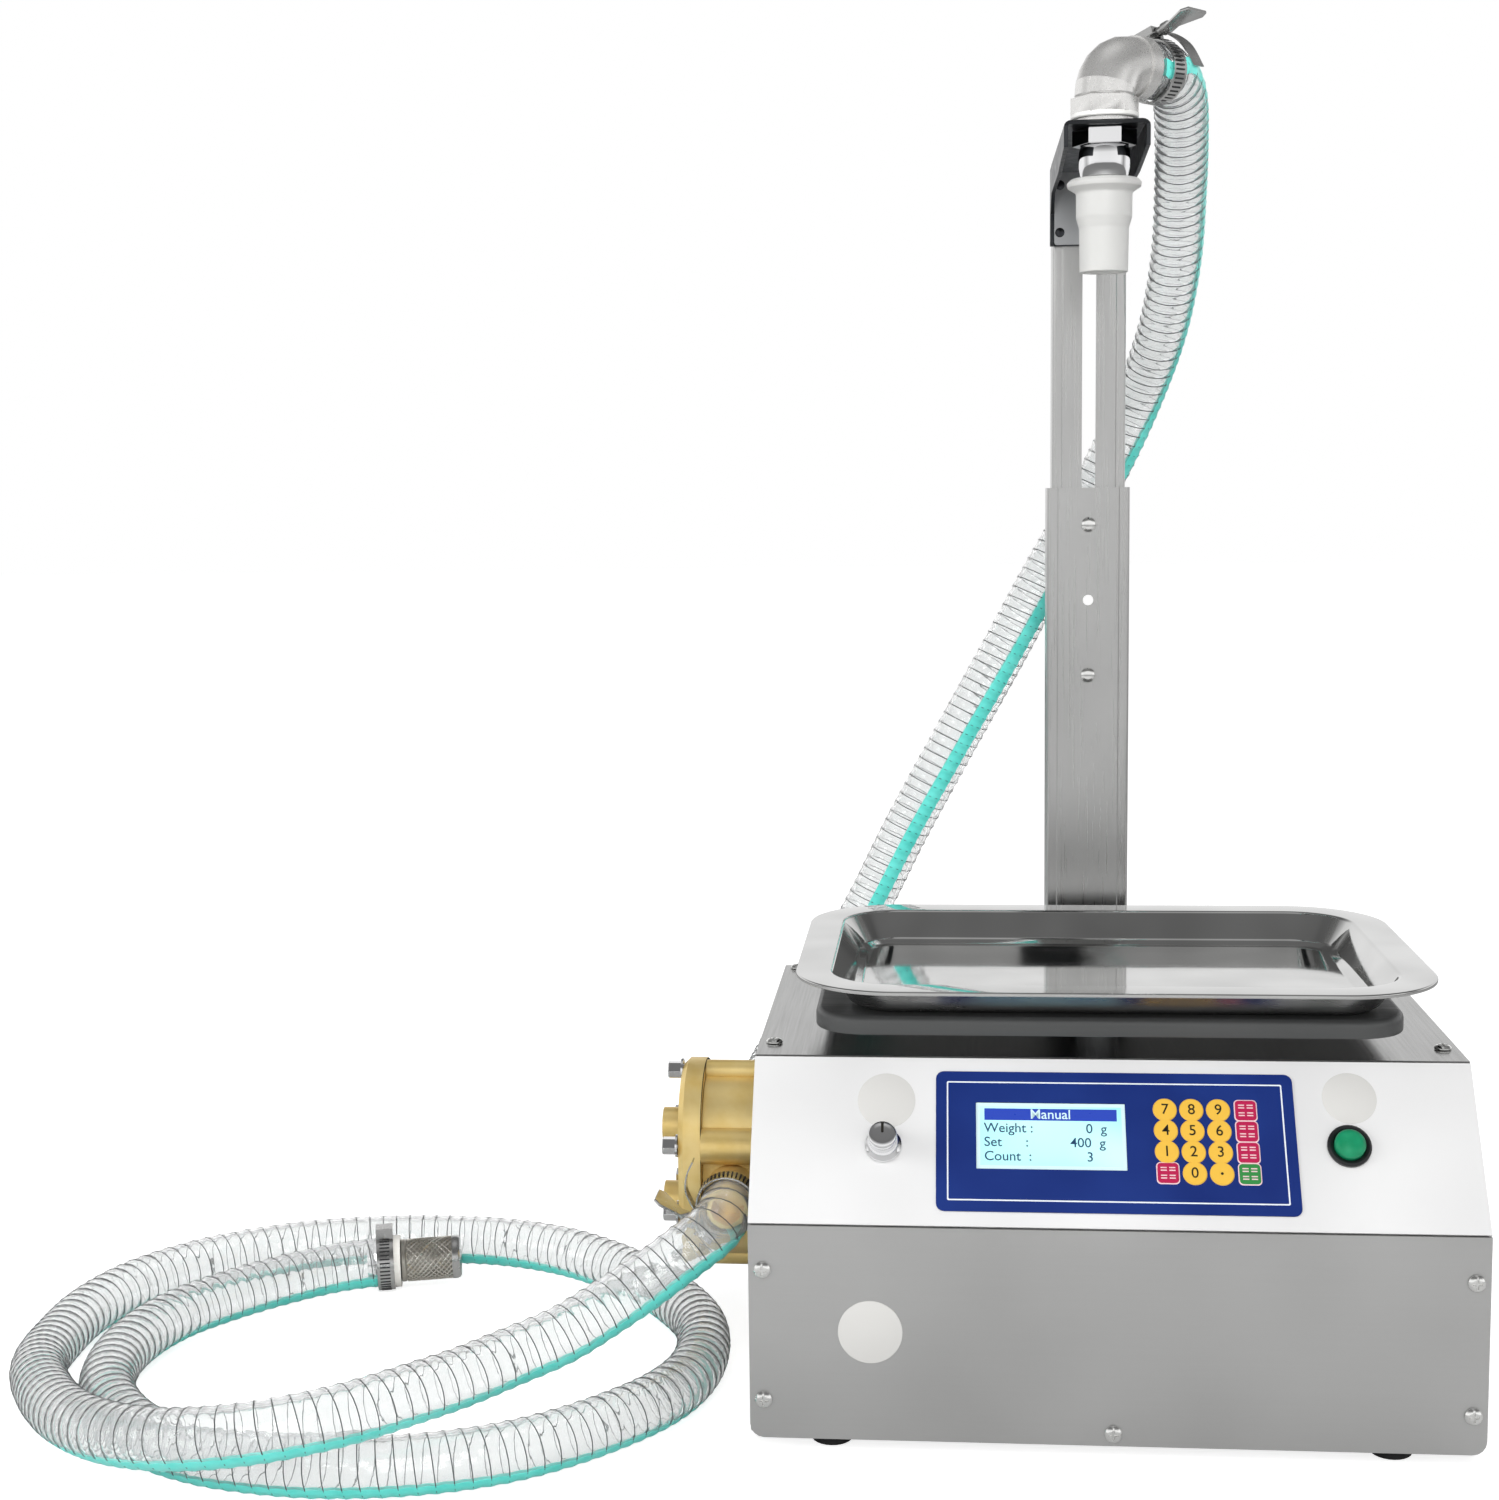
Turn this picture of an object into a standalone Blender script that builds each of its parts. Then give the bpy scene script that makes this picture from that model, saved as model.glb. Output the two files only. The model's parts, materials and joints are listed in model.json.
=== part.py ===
"""Weighing liquid filler: a cabinet with a gear pump, a scale tray and a nozzle on a sliding column.

Everything is drawn in millimetres and scaled to metres. In the machine's own frame X = 0 is the cabinet's
centre, Y = 0 its front face (+Y runs to the back) and Z = 0 the surface it stands on.
"""
import math

import bmesh
import bpy
from mathutils import Euler, Matrix, Vector
from mathutils.geometry import interpolate_bezier

MM = 0.001
GAP = 0.3                      # clearance between touching pieces

# Where the machine's own frame sits, so that the machine without its hoses stands centred on the origin
MACHINE_X = 28.3
MACHINE_Y = -146.95

# Cabinet
CABINET_WIDTH = 360.0
CABINET_DEPTH = 270.0
CABINET_HEIGHT = 190.0
FOOT_HEIGHT = 8.0
SLOPE_FOOT_Z = 118.0           # fold between the front panel and the sloped fascia
SLOPE_TOP_Y = 54.0             # fold between the sloped fascia and the top plate
SHEET = 1.5
CORNER = 7.0                   # radius of the panels' lower front corners
SLOPE_RISE = CABINET_HEIGHT - SLOPE_FOOT_Z
SLOPE_LENGTH = math.hypot(SLOPE_TOP_Y, SLOPE_RISE)
SLOPE_ANGLE = math.atan2(SLOPE_RISE, SLOPE_TOP_Y)

# Controls, as (x, distance up the slope)
KNOB_AT = (-113.4, 42.3)
BUTTON_AT = (116.2, 44.6)
OVERLAY_CENTRE = (2.0, 45.2)
OVERLAY_SIZE = (178.0, 73.5)
WINDOW_CENTRE = (-29.7, 48.0)
WINDOW_SIZE = (74.5, 35.0)
BUTTON_HOLE_RADIUS = 9.0
KNOB_HOLE_RADIUS = 4.6
BUTTON_TRAVEL_ROOM = 4.0

# Scale
TRAY_CENTRE_Y = 134.0
PLATFORM_SIZE = (298.0, 184.0)
PLATFORM_TOP = 213.7
TRAY_SIZE = (325.0, 232.0)
TRAY_X = 3.0
TRAY_TOP = 232.0

# Pump, on the cabinet's left side
PUMP_Y = 130.0
PUMP_Z = 109.0
GEAR_CENTRES = 42.0
GEAR_TEETH = 15
GEAR_OUTER = 23.1
CHAMBER_RADIUS = 23.6
PUMP_BODY_DEPTH = 33.3
PUMP_COVER_DEPTH = 12.4
PORT_X = 17.6                  # port axis, out from the cabinet's side
PORT_DROP = 6.0                # port axis, below the pump's centre
PORT_REACH = 41.0              # port face, from the pump's centre line
LUG_OFFSET = 31.0

# Column and nozzle
COLUMN_X = 2.3
COLUMN_FRONT = CABINET_DEPTH + GAP
OUTER_WIDTH = 48.6
OUTER_DEPTH = 26.0
OUTER_BOTTOM = 60.0
OUTER_TOP = 478.0
COLUMN_WALL = 2.0
INNER_WIDTH = 43.0
INNER_DEPTH = 20.0
INNER_BOTTOM = 285.0
INNER_TOP = 664.0
SLOT_WIDTH = 8.0
SLOT_BOTTOM = 305.0
SLOT_TOP = 608.0
COLUMN_SCREW_Z = (367.1, 456.3)
SIGHT_HOLE_Z = 411.7
NOZZLE_X = 1.2
NOZZLE_Y = 135.0
PLATE_TOP = 665.5
PLATE_THICKNESS = 2.5
ELBOW_Z = 696.0
ELBOW_RADIUS = 15.6
ELBOW_REACH = 30.0
ELBOW_HEADING = math.radians(45.0)
ELBOW_HEX_TURN = math.radians(-13.0)
NUT_TURN = math.radians(27.0)

# Hoses
HOSE_RADIUS = 15.0
INLET_ROUTE = [
    (-197.6, 85.2, 103.0), (-197.7, 68.0, 102.8), (-203.0, 52.0, 97.5), (-217.0, 41.0, 88.5),
    (-235.0, 31.0, 77.0), (-252.0, 20.0, 68.0), (-275.0, 1.0, 58.5), (-298.0, -15.0, 53.0),
    (-319.0, -36.0, 50.5), (-340.0, -57.0, 50.0), (-360.0, -74.0, 49.0), (-381.0, -87.0, 48.0),
    (-403.0, -94.0, 46.0), (-428.0, -95.0, 43.0), (-455.0, -88.0, 39.0), (-487.0, -70.0, 34.0),
    (-520.0, -37.0, 28.0), (-550.0, 8.0, 22.0), (-567.0, 45.0, 18.0), (-574.0, 85.0, 15.5),
    (-574.0, 128.0, 15.5), (-563.0, 170.0, 15.5), (-543.0, 201.0, 15.5), (-516.0, 226.0, 15.5),
    (-480.0, 246.0, 15.5), (-434.0, 258.0, 15.5), (-392.0, 261.0, 15.5), (-353.0, 257.0, 15.5),
    (-318.0, 244.0, 15.5), (-290.0, 225.0, 15.5), (-262.0, 198.0, 15.5), (-238.0, 165.0, 15.5),
    (-220.0, 129.0, 15.5), (-214.0, 92.0, 15.5), (-217.0, 57.0, 15.5), (-229.0, 26.0, 15.5),
    (-249.0, -1.0, 15.5), (-272.0, -24.0, 15.5), (-294.0, -40.0, 15.5), (-317.0, -51.0, 15.5),
    (-340.0, -58.0, 15.5), (-364.0, -62.0, 15.5), (-389.0, -63.0, 15.5), (-415.0, -60.0, 15.5),
    (-443.0, -53.0, 15.5), (-473.0, -38.0, 15.5), (-500.0, -12.0, 15.5), (-520.0, 20.0, 15.5),
    (-530.0, 58.0, 15.5), (-529.0, 96.0, 15.5), (-519.0, 129.0, 15.5), (-500.0, 158.0, 15.5),
    (-478.0, 183.0, 15.5), (-453.0, 203.5, 15.8), (-431.0, 213.0, 16.6), (-413.0, 217.2, 17.0),
]
OUTLET_ROUTE = [
    (-197.6, 174.8, 103.0), (-197.6, 192.0, 103.0), (-197.6, 225.0, 104.0), (-197.0, 262.0, 108.0),
    (-191.0, 300.0, 120.0), (-173.0, 324.0, 147.0), (-152.0, 330.0, 179.0), (-130.0, 330.0, 219.5),
    (-108.0, 329.0, 264.0), (-80.0, 328.0, 316.0), (-49.0, 328.0, 372.0), (-22.0, 329.0, 422.0),
    (16.0, 329.0, 489.0), (34.5, 318.0, 531.0), (46.5, 290.0, 571.0), (51.0, 262.0, 608.0),
    (50.5, 235.0, 643.0), (48.0, 207.0, 669.0), (44.5, 186.0, 687.5), (36.9, 169.8, 696.0),
    (24.1, 157.0, 696.0),
]
ROUTE_STEP = 45.0              # spacing of the hose tubes' points
END_STRAIGHT = 20.0            # each hose leaves its fitting straight for this long
CLAMP_FROM_END = 8.5           # middle of a hose clamp, from the hose's end


def clear_scene():
    for item in list(bpy.data.objects):
        bpy.data.objects.remove(item, do_unlink=True)


def make_material(name, color, metallic, roughness):
    """A plain Principled material."""
    material = bpy.data.materials.new(name)
    material.use_nodes = True
    shader = material.node_tree.nodes["Principled BSDF"]
    shader.inputs["Base Color"].default_value = (*color, 1.0)
    shader.inputs["Metallic"].default_value = metallic
    shader.inputs["Roughness"].default_value = roughness
    material.diffuse_color = (*color, 1.0)
    return material


def make_empty(name, at, turn=(0.0, 0.0, 0.0), parent=None):
    """An empty that places a group of pieces, at a point in millimetres."""
    empty = bpy.data.objects.new(name, None)
    bpy.context.collection.objects.link(empty)
    empty.location = Vector(at) * MM
    empty.rotation_euler = turn
    empty.parent = parent
    return empty


def place(name, mesh, material, at=(0.0, 0.0, 0.0), turn=(0.0, 0.0, 0.0), parent=None):
    """Stand a mesh in the scene as the sub-part of that name."""
    piece = bpy.data.objects.new(name, mesh)
    bpy.context.collection.objects.link(piece)
    if material is not None and not mesh.materials:
        mesh.materials.append(material)
    piece.location = Vector(at) * MM
    piece.rotation_euler = turn
    piece.parent = parent
    return piece


def finish_mesh(bm, name):
    """Weld, face outwards, scale to metres and shade round surfaces smooth."""
    bmesh.ops.remove_doubles(bm, verts=bm.verts, dist=0.0001)
    bmesh.ops.recalc_face_normals(bm, faces=bm.faces)
    bmesh.ops.scale(bm, vec=(MM, MM, MM), verts=bm.verts)
    mesh = bpy.data.meshes.new(name)
    bm.to_mesh(mesh)
    bm.free()
    mesh.shade_smooth()
    mesh.set_sharp_from_angle(angle=math.radians(32.0))
    return mesh


def circle_loop(radius, z, count=32, centre=(0.0, 0.0)):
    """Points of a circle, counted from +X."""
    step = 2.0 * math.pi / count
    return [Vector((centre[0] + radius * math.cos(i * step), centre[1] + radius * math.sin(i * step), z))
            for i in range(count)]


def hexagon_loop(across_flats, z, count=24, turn=0.0):
    """Points around a hexagon, evenly by angle, so that it joins a circle of as many points."""
    points = []
    for i in range(count):
        off_flat = (2.0 * math.pi * i / count + math.pi / 6.0) % (math.pi / 3.0) - math.pi / 6.0
        angle = 2.0 * math.pi * i / count + turn
        radius = across_flats / 2.0 / math.cos(off_flat)
        points.append(Vector((radius * math.cos(angle), radius * math.sin(angle), z)))
    return points


def rectangle_loop(width, depth, z, radius=0.0, centre=(0.0, 0.0), corner_steps=4):
    """Points of a rectangle with round corners."""
    points = []
    for quarter, (sx, sy) in enumerate(((1, 1), (-1, 1), (-1, -1), (1, -1))):
        cx = centre[0] + sx * (width / 2.0 - radius)
        cy = centre[1] + sy * (depth / 2.0 - radius)
        steps = corner_steps if radius > 0.0 else 0
        for i in range(steps + 1):
            angle = math.pi / 2.0 * (quarter + (i / steps if steps else 0.0))
            points.append(Vector((cx + radius * math.cos(angle), cy + radius * math.sin(angle), z)))
    return points


def stadium_loop(radius, half_centres, z, steps=12):
    """Points of two half circles, joined by straight sides along X."""
    points = []
    for end, start in ((1, -math.pi / 2.0), (-1, math.pi / 2.0)):
        for i in range(steps + 1):
            angle = start + math.pi * i / steps
            points.append(Vector((end * half_centres + radius * math.cos(angle), radius * math.sin(angle),
                                  z)))
    return points


def loft(name, loops):
    """A closed solid whose skin passes through each loop in turn, from one flat end to the other."""
    bm = bmesh.new()
    rows = [[bm.verts.new(point) for point in loop] for loop in loops]
    for lower, upper in zip(rows, rows[1:]):
        count = len(lower)
        for i in range(count):
            j = (i + 1) % count
            bm.faces.new((lower[i], lower[j], upper[j], upper[i]))
    bm.faces.new(rows[0])
    bm.faces.new(rows[-1])
    return finish_mesh(bm, name)


def turned(name, profile, count=32):
    """A turned solid about Z, from (radius, z) points listed from one end to the other."""
    return loft(name, [circle_loop(radius, z, count) for radius, z in profile])


def turned_ring(name, profile, count=32):
    """A turned solid with an open middle, from the (radius, z) points all round its section."""
    bm = bmesh.new()
    rows = [[bm.verts.new(point) for point in circle_loop(radius, z, count)] for radius, z in profile]
    for lower, upper in zip(rows, rows[1:] + rows[:1]):
        for i in range(count):
            j = (i + 1) % count
            bm.faces.new((lower[i], lower[j], upper[j], upper[i]))
    return finish_mesh(bm, name)


def extruded(name, outline, low, high, axis="Z"):
    """An outline of (a, b) points pulled out along an axis from low to high."""
    to_point = {
        "X": lambda a, b, c: (c, a, b),
        "Y": lambda a, b, c: (a, c, b),
        "Z": lambda a, b, c: (a, b, c),
    }[axis]
    return loft(name, [[Vector(to_point(a, b, level)) for a, b in outline] for level in (low, high)])


def block(name, low, high):
    """A box between two corners."""
    outline = [(low[0], low[1]), (high[0], low[1]), (high[0], high[1]), (low[0], high[1])]
    return extruded(name, outline, low[2], high[2])


def cylinders(name, centres, radius, low, high, count=24):
    """Several separate upright cylinders in one mesh, used only to shape other pieces."""
    bm = bmesh.new()
    for centre in centres:
        floor = [bm.verts.new(point) for point in circle_loop(radius, low, count, centre)]
        roof = [bm.verts.new(point) for point in circle_loop(radius, high, count, centre)]
        for i in range(count):
            j = (i + 1) % count
            bm.faces.new((floor[i], floor[j], roof[j], roof[i]))
        bm.faces.new(floor)
        bm.faces.new(roof)
    return finish_mesh(bm, name)


def combine(piece, tool_mesh, operation, at=(0.0, 0.0, 0.0), turn=(0.0, 0.0, 0.0), parent=None):
    """Cut a tool's shape out of a piece, or join it on, with a Boolean."""
    tool = place(tool_mesh.name, tool_mesh, None, at, turn, parent)
    tool.hide_render = True
    tool.display_type = "WIRE"
    modifier = piece.modifiers.new(operation.title(), "BOOLEAN")
    modifier.operation = operation
    modifier.solver = "EXACT"
    modifier.object = tool
    return tool


def pan_screw(name, length):
    """A pan-head screw, head up, with a cross recess, standing on Z = 0."""
    head_radius = 4.4
    head_height = 2.4
    shank_radius = 2.0
    mesh = turned(name, [(shank_radius, -length), (shank_radius, GAP), (head_radius, GAP),
                         (head_radius, 1.0), (3.6, 1.9), (2.2, head_height)], 20)
    blank = place(name + "_blank", mesh, None)
    arm = (4.8, 1.1)
    outline = [(-arm[0] / 2, -arm[1] / 2), (-arm[1] / 2, -arm[1] / 2), (-arm[1] / 2, -arm[0] / 2),
               (arm[1] / 2, -arm[0] / 2), (arm[1] / 2, -arm[1] / 2), (arm[0] / 2, -arm[1] / 2),
               (arm[0] / 2, arm[1] / 2), (arm[1] / 2, arm[1] / 2), (arm[1] / 2, arm[0] / 2),
               (-arm[1] / 2, arm[0] / 2), (-arm[1] / 2, arm[1] / 2), (-arm[0] / 2, arm[1] / 2)]
    cross = combine(blank, extruded(name + "_cross", outline, 1.2, 4.0), "DIFFERENCE")
    bpy.context.view_layer.update()
    finished = bpy.data.meshes.new_from_object(blank.evaluated_get(bpy.context.evaluated_depsgraph_get()))
    finished.name = name + "_mesh"
    bpy.data.objects.remove(blank)
    bpy.data.objects.remove(cross)
    return finished


def hex_bolt(name, across_flats, head_height, shank_radius, length):
    """A hexagon-head bolt, head up, standing on Z = 0."""
    return loft(name, [circle_loop(shank_radius, -length, 24), circle_loop(shank_radius, GAP, 24),
                       hexagon_loop(across_flats, GAP), hexagon_loop(across_flats, head_height - 0.6),
                       hexagon_loop(across_flats - 1.2, head_height)])


def smooth_route(points, step):
    """A smooth curve through the route's points, read off about every step along it."""
    route = [Vector(point) for point in points]
    tangents = []
    for i in range(len(route)):
        before = route[max(i - 1, 0)]
        after = route[min(i + 1, len(route) - 1)]
        tangents.append((after - before).normalized())
    fine = []
    for i in range(len(route) - 1):
        reach = (route[i + 1] - route[i]).length / 3.0
        fine += interpolate_bezier(route[i], route[i] + tangents[i] * reach,
                                   route[i + 1] - tangents[i + 1] * reach, route[i + 1], 9)[:-1]
    fine.append(route[-1])
    total = sum((b - a).length for a, b in zip(fine, fine[1:]))
    inside = total - 2.0 * END_STRAIGHT
    count = round(inside / step)
    marks = [END_STRAIGHT + inside * i / count for i in range(count + 1)]
    picked = [fine[0]]
    travelled = 0.0
    for a, b in zip(fine, fine[1:]):
        piece = (b - a).length
        while marks and marks[0] <= travelled + piece:
            picked.append(a.lerp(b, (marks.pop(0) - travelled) / piece))
        travelled += piece
    picked.append(fine[-1])
    return picked


def hose(name, points, material, parent):
    """A hose as a plain round bar through the points, with flat ends."""
    curve = bpy.data.curves.new(name, "CURVE")
    curve.dimensions = "3D"
    curve.bevel_depth = HOSE_RADIUS * MM
    curve.bevel_resolution = 3
    curve.use_fill_caps = True
    curve.resolution_u = 1
    spline = curve.splines.new("POLY")
    spline.points.add(len(points) - 1)
    for spline_point, point in zip(spline.points, points):
        spline_point.co = (*(point * MM), 1.0)
    curve.materials.append(material)
    tube = bpy.data.objects.new(name, curve)
    bpy.context.collection.objects.link(tube)
    tube.parent = parent
    return tube


def round_corner(edge, bottom, inward, start):
    """A quarter circle that rounds a panel's lower corner, at that edge and bottom, from that angle on."""
    points = []
    for i in range(5):
        angle = start + math.pi / 2.0 * i / 4.0
        points.append((edge + CORNER * (inward + math.cos(angle)),
                       bottom + CORNER * (1.0 + math.sin(angle))))
    return points


def build_cabinet(machine, slope, materials):
    """Folded sheet panels round an open box, each with its screws, on four rubber feet."""
    steel = materials["stainless"]
    half = CABINET_WIDTH / 2.0
    inner = SHEET + GAP

    # base pan: a shallow tray whose walls stand just inside the panels
    pan_low = (-half + inner, inner)
    pan_high = (half - inner, CABINET_DEPTH - inner)
    pan_width = pan_high[0] - pan_low[0]
    pan_depth = pan_high[1] - pan_low[1]
    centre = (0.0, CABINET_DEPTH / 2.0)
    pan_floor = FOOT_HEIGHT + SHEET
    pan_wall = FOOT_HEIGHT + 14.0
    outer = (pan_width - 2.0 * GAP, pan_depth - 2.0 * GAP)
    inside = (outer[0] - 2.0 * SHEET, outer[1] - 2.0 * SHEET)
    bend = 2.0 * CORNER
    bend_top = FOOT_HEIGHT + CORNER
    pan = place("base_pan", loft("base_pan", [
        rectangle_loop(inside[0] - bend + 1.8, inside[1] - bend + 1.8, pan_floor, centre=centre),
        rectangle_loop(*inside, bend_top + 0.6, centre=centre),
        rectangle_loop(*inside, pan_wall, centre=centre),
        rectangle_loop(*outer, pan_wall, centre=centre),
        rectangle_loop(*outer, bend_top, centre=centre),
        rectangle_loop(outer[0] - bend, outer[1] - bend, FOOT_HEIGHT, centre=centre),
    ]), steel, parent=machine)

    # front panel: flat sheet with rounded lower corners and five screw holes
    outline = [(half, SLOPE_FOOT_Z - GAP), (-half, SLOPE_FOOT_Z - GAP)]
    outline += round_corner(-half, FOOT_HEIGHT, 1.0, math.pi)
    outline += round_corner(half, FOOT_HEIGHT, -1.0, 1.5 * math.pi)
    front = place("front_panel", extruded("front_panel", outline, 0.0, SHEET, "Y"), steel, parent=machine)
    edge = half - 7.0
    front_screws = [(-edge, 95.0), (edge, 95.0), (-edge, 28.0), (edge, 28.0), (0.0, 14.5)]
    to_front = (math.pi / 2.0, 0.0, 0.0)
    screw_hole = 2.4
    combine(front, cylinders("front_panel_holes", front_screws, screw_hole, -5.0, 5.0), "DIFFERENCE",
            turn=to_front, parent=machine)
    combine(pan, cylinders("base_pan_hole", front_screws[-1:], screw_hole, -8.0, 5.0), "DIFFERENCE",
            turn=to_front, parent=machine)
    screw = pan_screw("pan_screw", 4.0)
    for number, (x, z) in enumerate(front_screws, 1):
        place(f"front_screw_{number}", screw, materials["screw"], (x, 0.0, z), to_front, machine)

    # sloped fascia, drawn flat in the slope's own frame
    fascia = place("sloped_fascia", block("sloped_fascia", (-half, 1.0, -SHEET),
                                          (half, SLOPE_LENGTH - 0.6, 0.0)),
                   materials["bright_steel"], parent=slope)
    window = rectangle_loop(WINDOW_SIZE[0] + 2.0, WINDOW_SIZE[1] + 2.0, 0.0, centre=WINDOW_CENTRE)
    window = [(point.x, point.y) for point in window]
    combine(fascia, extruded("fascia_window", window, -5.0, 5.0), "DIFFERENCE", parent=slope)
    combine(fascia, cylinders("fascia_button_hole", [BUTTON_AT], BUTTON_HOLE_RADIUS, -5.0, 5.0),
            "DIFFERENCE", parent=slope)
    combine(fascia, cylinders("fascia_knob_hole", [KNOB_AT], KNOB_HOLE_RADIUS, -5.0, 5.0), "DIFFERENCE",
            parent=slope)

    # top plate with the scale post's hole and four corner screws
    top = place("top_plate", block("top_plate", (-half, SLOPE_TOP_Y + 1.2, CABINET_HEIGHT - SHEET),
                                   (half, CABINET_DEPTH, CABINET_HEIGHT)), steel, parent=machine)
    post_hole = 16.0
    combine(top, cylinders("top_post_hole", [(0.0, TRAY_CENTRE_Y)], post_hole, 170.0, 200.0), "DIFFERENCE",
            parent=machine)
    top_screws = [(-172.0, 80.0), (172.0, 80.0), (-172.0, 261.0), (172.0, 261.0)]
    combine(top, cylinders("top_screw_holes", top_screws, screw_hole, 170.0, 200.0), "DIFFERENCE",
            parent=machine)
    for number, (x, y) in enumerate(top_screws, 1):
        place(f"top_screw_{number}", screw, materials["screw"], (x, y, CABINET_HEIGHT), parent=machine)

    # side panels follow the front, the slope and the top just inside them
    across = inner * math.sin(SLOPE_ANGLE)
    slope_offset_z = SLOPE_FOOT_Z - inner * math.cos(SLOPE_ANGLE)
    tangent = math.tan(SLOPE_ANGLE)
    side_top = CABINET_HEIGHT - inner
    side = [*round_corner(inner, FOOT_HEIGHT, 1.0, math.pi), (CABINET_DEPTH - inner, FOOT_HEIGHT),
            (CABINET_DEPTH - inner, side_top),
            (across + (side_top - slope_offset_z) / tangent, side_top),
            (inner, slope_offset_z + (inner - across) * tangent)]
    place("side_panel_right", extruded("side_panel_right", side, half - SHEET, half, "X"), steel,
          parent=machine)
    left = place("side_panel_left", extruded("side_panel_left", side, -half, -half + SHEET, "X"), steel,
                 parent=machine)
    pilot_hole = 19.0
    combine(left, cylinders("side_pilot_hole", [(-PUMP_Z - GEAR_CENTRES / 2.0, PUMP_Y)], pilot_hole,
                            -190.0, -170.0),
            "DIFFERENCE", turn=(0.0, math.pi / 2.0, 0.0), parent=machine)

    # rear panel with the power inlet's cut-out
    rear = place("rear_panel", block("rear_panel", (-half, CABINET_DEPTH - SHEET, FOOT_HEIGHT),
                                     (half, CABINET_DEPTH, CABINET_HEIGHT - SHEET - GAP)), steel,
                                     parent=machine)
    combine(rear, block("rear_inlet_hole", (98.0, 260.0, 50.0), (126.0, 280.0, 98.0)), "DIFFERENCE",
            parent=machine)

    foot_spots = [(-140.0, 20.0), (138.0, 20.0), (-140.0, 250.0), (138.0, 250.0)]
    foot = turned("foot", [(9.8, 0.0), (10.6, 0.8), (10.6, FOOT_HEIGHT - GAP)], 24)
    for number, (x, y) in enumerate(foot_spots, 1):
        place(f"foot_{number}", foot, materials["black_rubber"], (x, y, 0.0), parent=machine)


def build_controls(machine, slope, materials):
    """What sits in the sloped fascia: display and keypad, flow knob and start button."""
    # membrane overlay, glued to the fascia, open over the display
    overlay = [(point.x, point.y) for point in rectangle_loop(*OVERLAY_SIZE, 0.0, 4.0, OVERLAY_CENTRE)]
    overlay_top = GAP + 0.6
    sheet = place("keypad_overlay", extruded("keypad_overlay", overlay, GAP, overlay_top),
                  materials["overlay"], parent=slope)
    window = [(point.x, point.y) for point in rectangle_loop(*WINDOW_SIZE, 0.0, 0.0, WINDOW_CENTRE)]
    combine(sheet, extruded("overlay_window", window, -2.0, 4.0), "DIFFERENCE", parent=slope)

    # display glass on its frame on the controller board
    glass = (WINDOW_SIZE[0] - 1.0, WINDOW_SIZE[1] - 1.0)
    frame_size = (93.0, 52.0)
    board_size = (172.0, 66.0)
    board_centre = (OVERLAY_CENTRE[0], 46.0)
    place("controller_module", loft("controller_module", [
        rectangle_loop(*glass, -0.2, centre=WINDOW_CENTRE),
        rectangle_loop(*glass, -SHEET - GAP, centre=WINDOW_CENTRE),
        rectangle_loop(*frame_size, -SHEET - GAP, centre=WINDOW_CENTRE),
        rectangle_loop(*frame_size, -9.0, centre=WINDOW_CENTRE),
        rectangle_loop(*board_size, -9.0, centre=board_centre),
        rectangle_loop(*board_size, -10.6, centre=board_centre),
    ]), materials["circuit_board"], parent=slope)

    # flow potentiometer behind the fascia and its knob in front
    place("flow_potentiometer", turned("flow_potentiometer", [
        (8.0, -14.0), (8.0, -SHEET - GAP - 2.0), (3.9, -SHEET - GAP - 2.0), (3.9, 0.5), (2.9, 0.5),
        (2.9, 8.0), ], 24), materials["circuit_board"], (*KNOB_AT, 0.0), parent=slope)
    knob = place("flow_knob", turned("flow_knob", [
        (3.3, 10.0), (3.3, GAP + 0.4), (9.0, GAP + 0.4), (9.2, 2.6), (7.2, 3.4), (6.9, 6.0), (7.4, 14.6),
        (6.6, 15.6), (1.5, 16.2),
    ]), materials["chrome"], (*KNOB_AT, 0.0), parent=slope)
    notch = block("knob_notch", (-0.9, 3.2, 15.0), (0.9, 10.0, 20.0))
    combine(knob, notch, "DIFFERENCE", (*KNOB_AT, 0.0), parent=slope)

    # start button: bezel and barrel, with a sprung cap in its well
    bezel = 10.8
    barrel = 8.7
    well = 7.9
    place("start_button_body", turned("start_button_body", [
        (well, 0.6 - BUTTON_TRAVEL_ROOM), (well, 2.4), (9.6, 3.2), (bezel, 2.2), (bezel, GAP),
        (barrel, GAP), (barrel, -26.0), ]), materials["black_plastic"], (*BUTTON_AT, 0.0), parent=slope)
    place("start_button_cap", turned("start_button_cap", [
        (7.6, 0.6), (7.6, 4.6), (7.0, 5.8), (5.2, 6.7), (2.6, 7.2), (0.6, 7.3),
    ]), materials["green_plastic"], (*BUTTON_AT, 0.0), parent=slope)

    # power supply on the base pan
    place("power_supply", block("power_supply", (-150.0, 190.0, 10.0), (-30.0, 252.0, 50.0)),
          materials["zinc"], parent=machine)

    # power inlet with an open socket, and the rocker switch above it
    inlet_x = 112.0
    inlet = place("power_inlet", block("power_inlet", (98.5, 246.0, 50.5),
                                       (125.5, CABINET_DEPTH + 2.0, 97.5)),
                  materials["black_plastic"], parent=machine)
    combine(inlet, block("inlet_socket", (inlet_x - 11.5, 255.0, 53.0), (inlet_x + 11.5, 280.0, 69.0)),
            "DIFFERENCE", parent=machine)
    combine(inlet, block("inlet_rocker_well", (inlet_x - 10.0, 256.0, 78.0), (inlet_x + 10.0, 280.0, 94.0)),
            "DIFFERENCE", parent=machine)
    rocker = [(-6.6, -3.5), (6.6, -3.5), (6.6, 1.2), (0.0, 0.2), (-6.6, 3.2)]
    place("power_rocker", extruded("power_rocker", rocker, -9.5, 9.5, "X"), materials["black_plastic"],
          (inlet_x, CABINET_DEPTH + 0.5, 86.0), (-math.pi / 2.0, 0.0, 0.0), machine)


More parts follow.
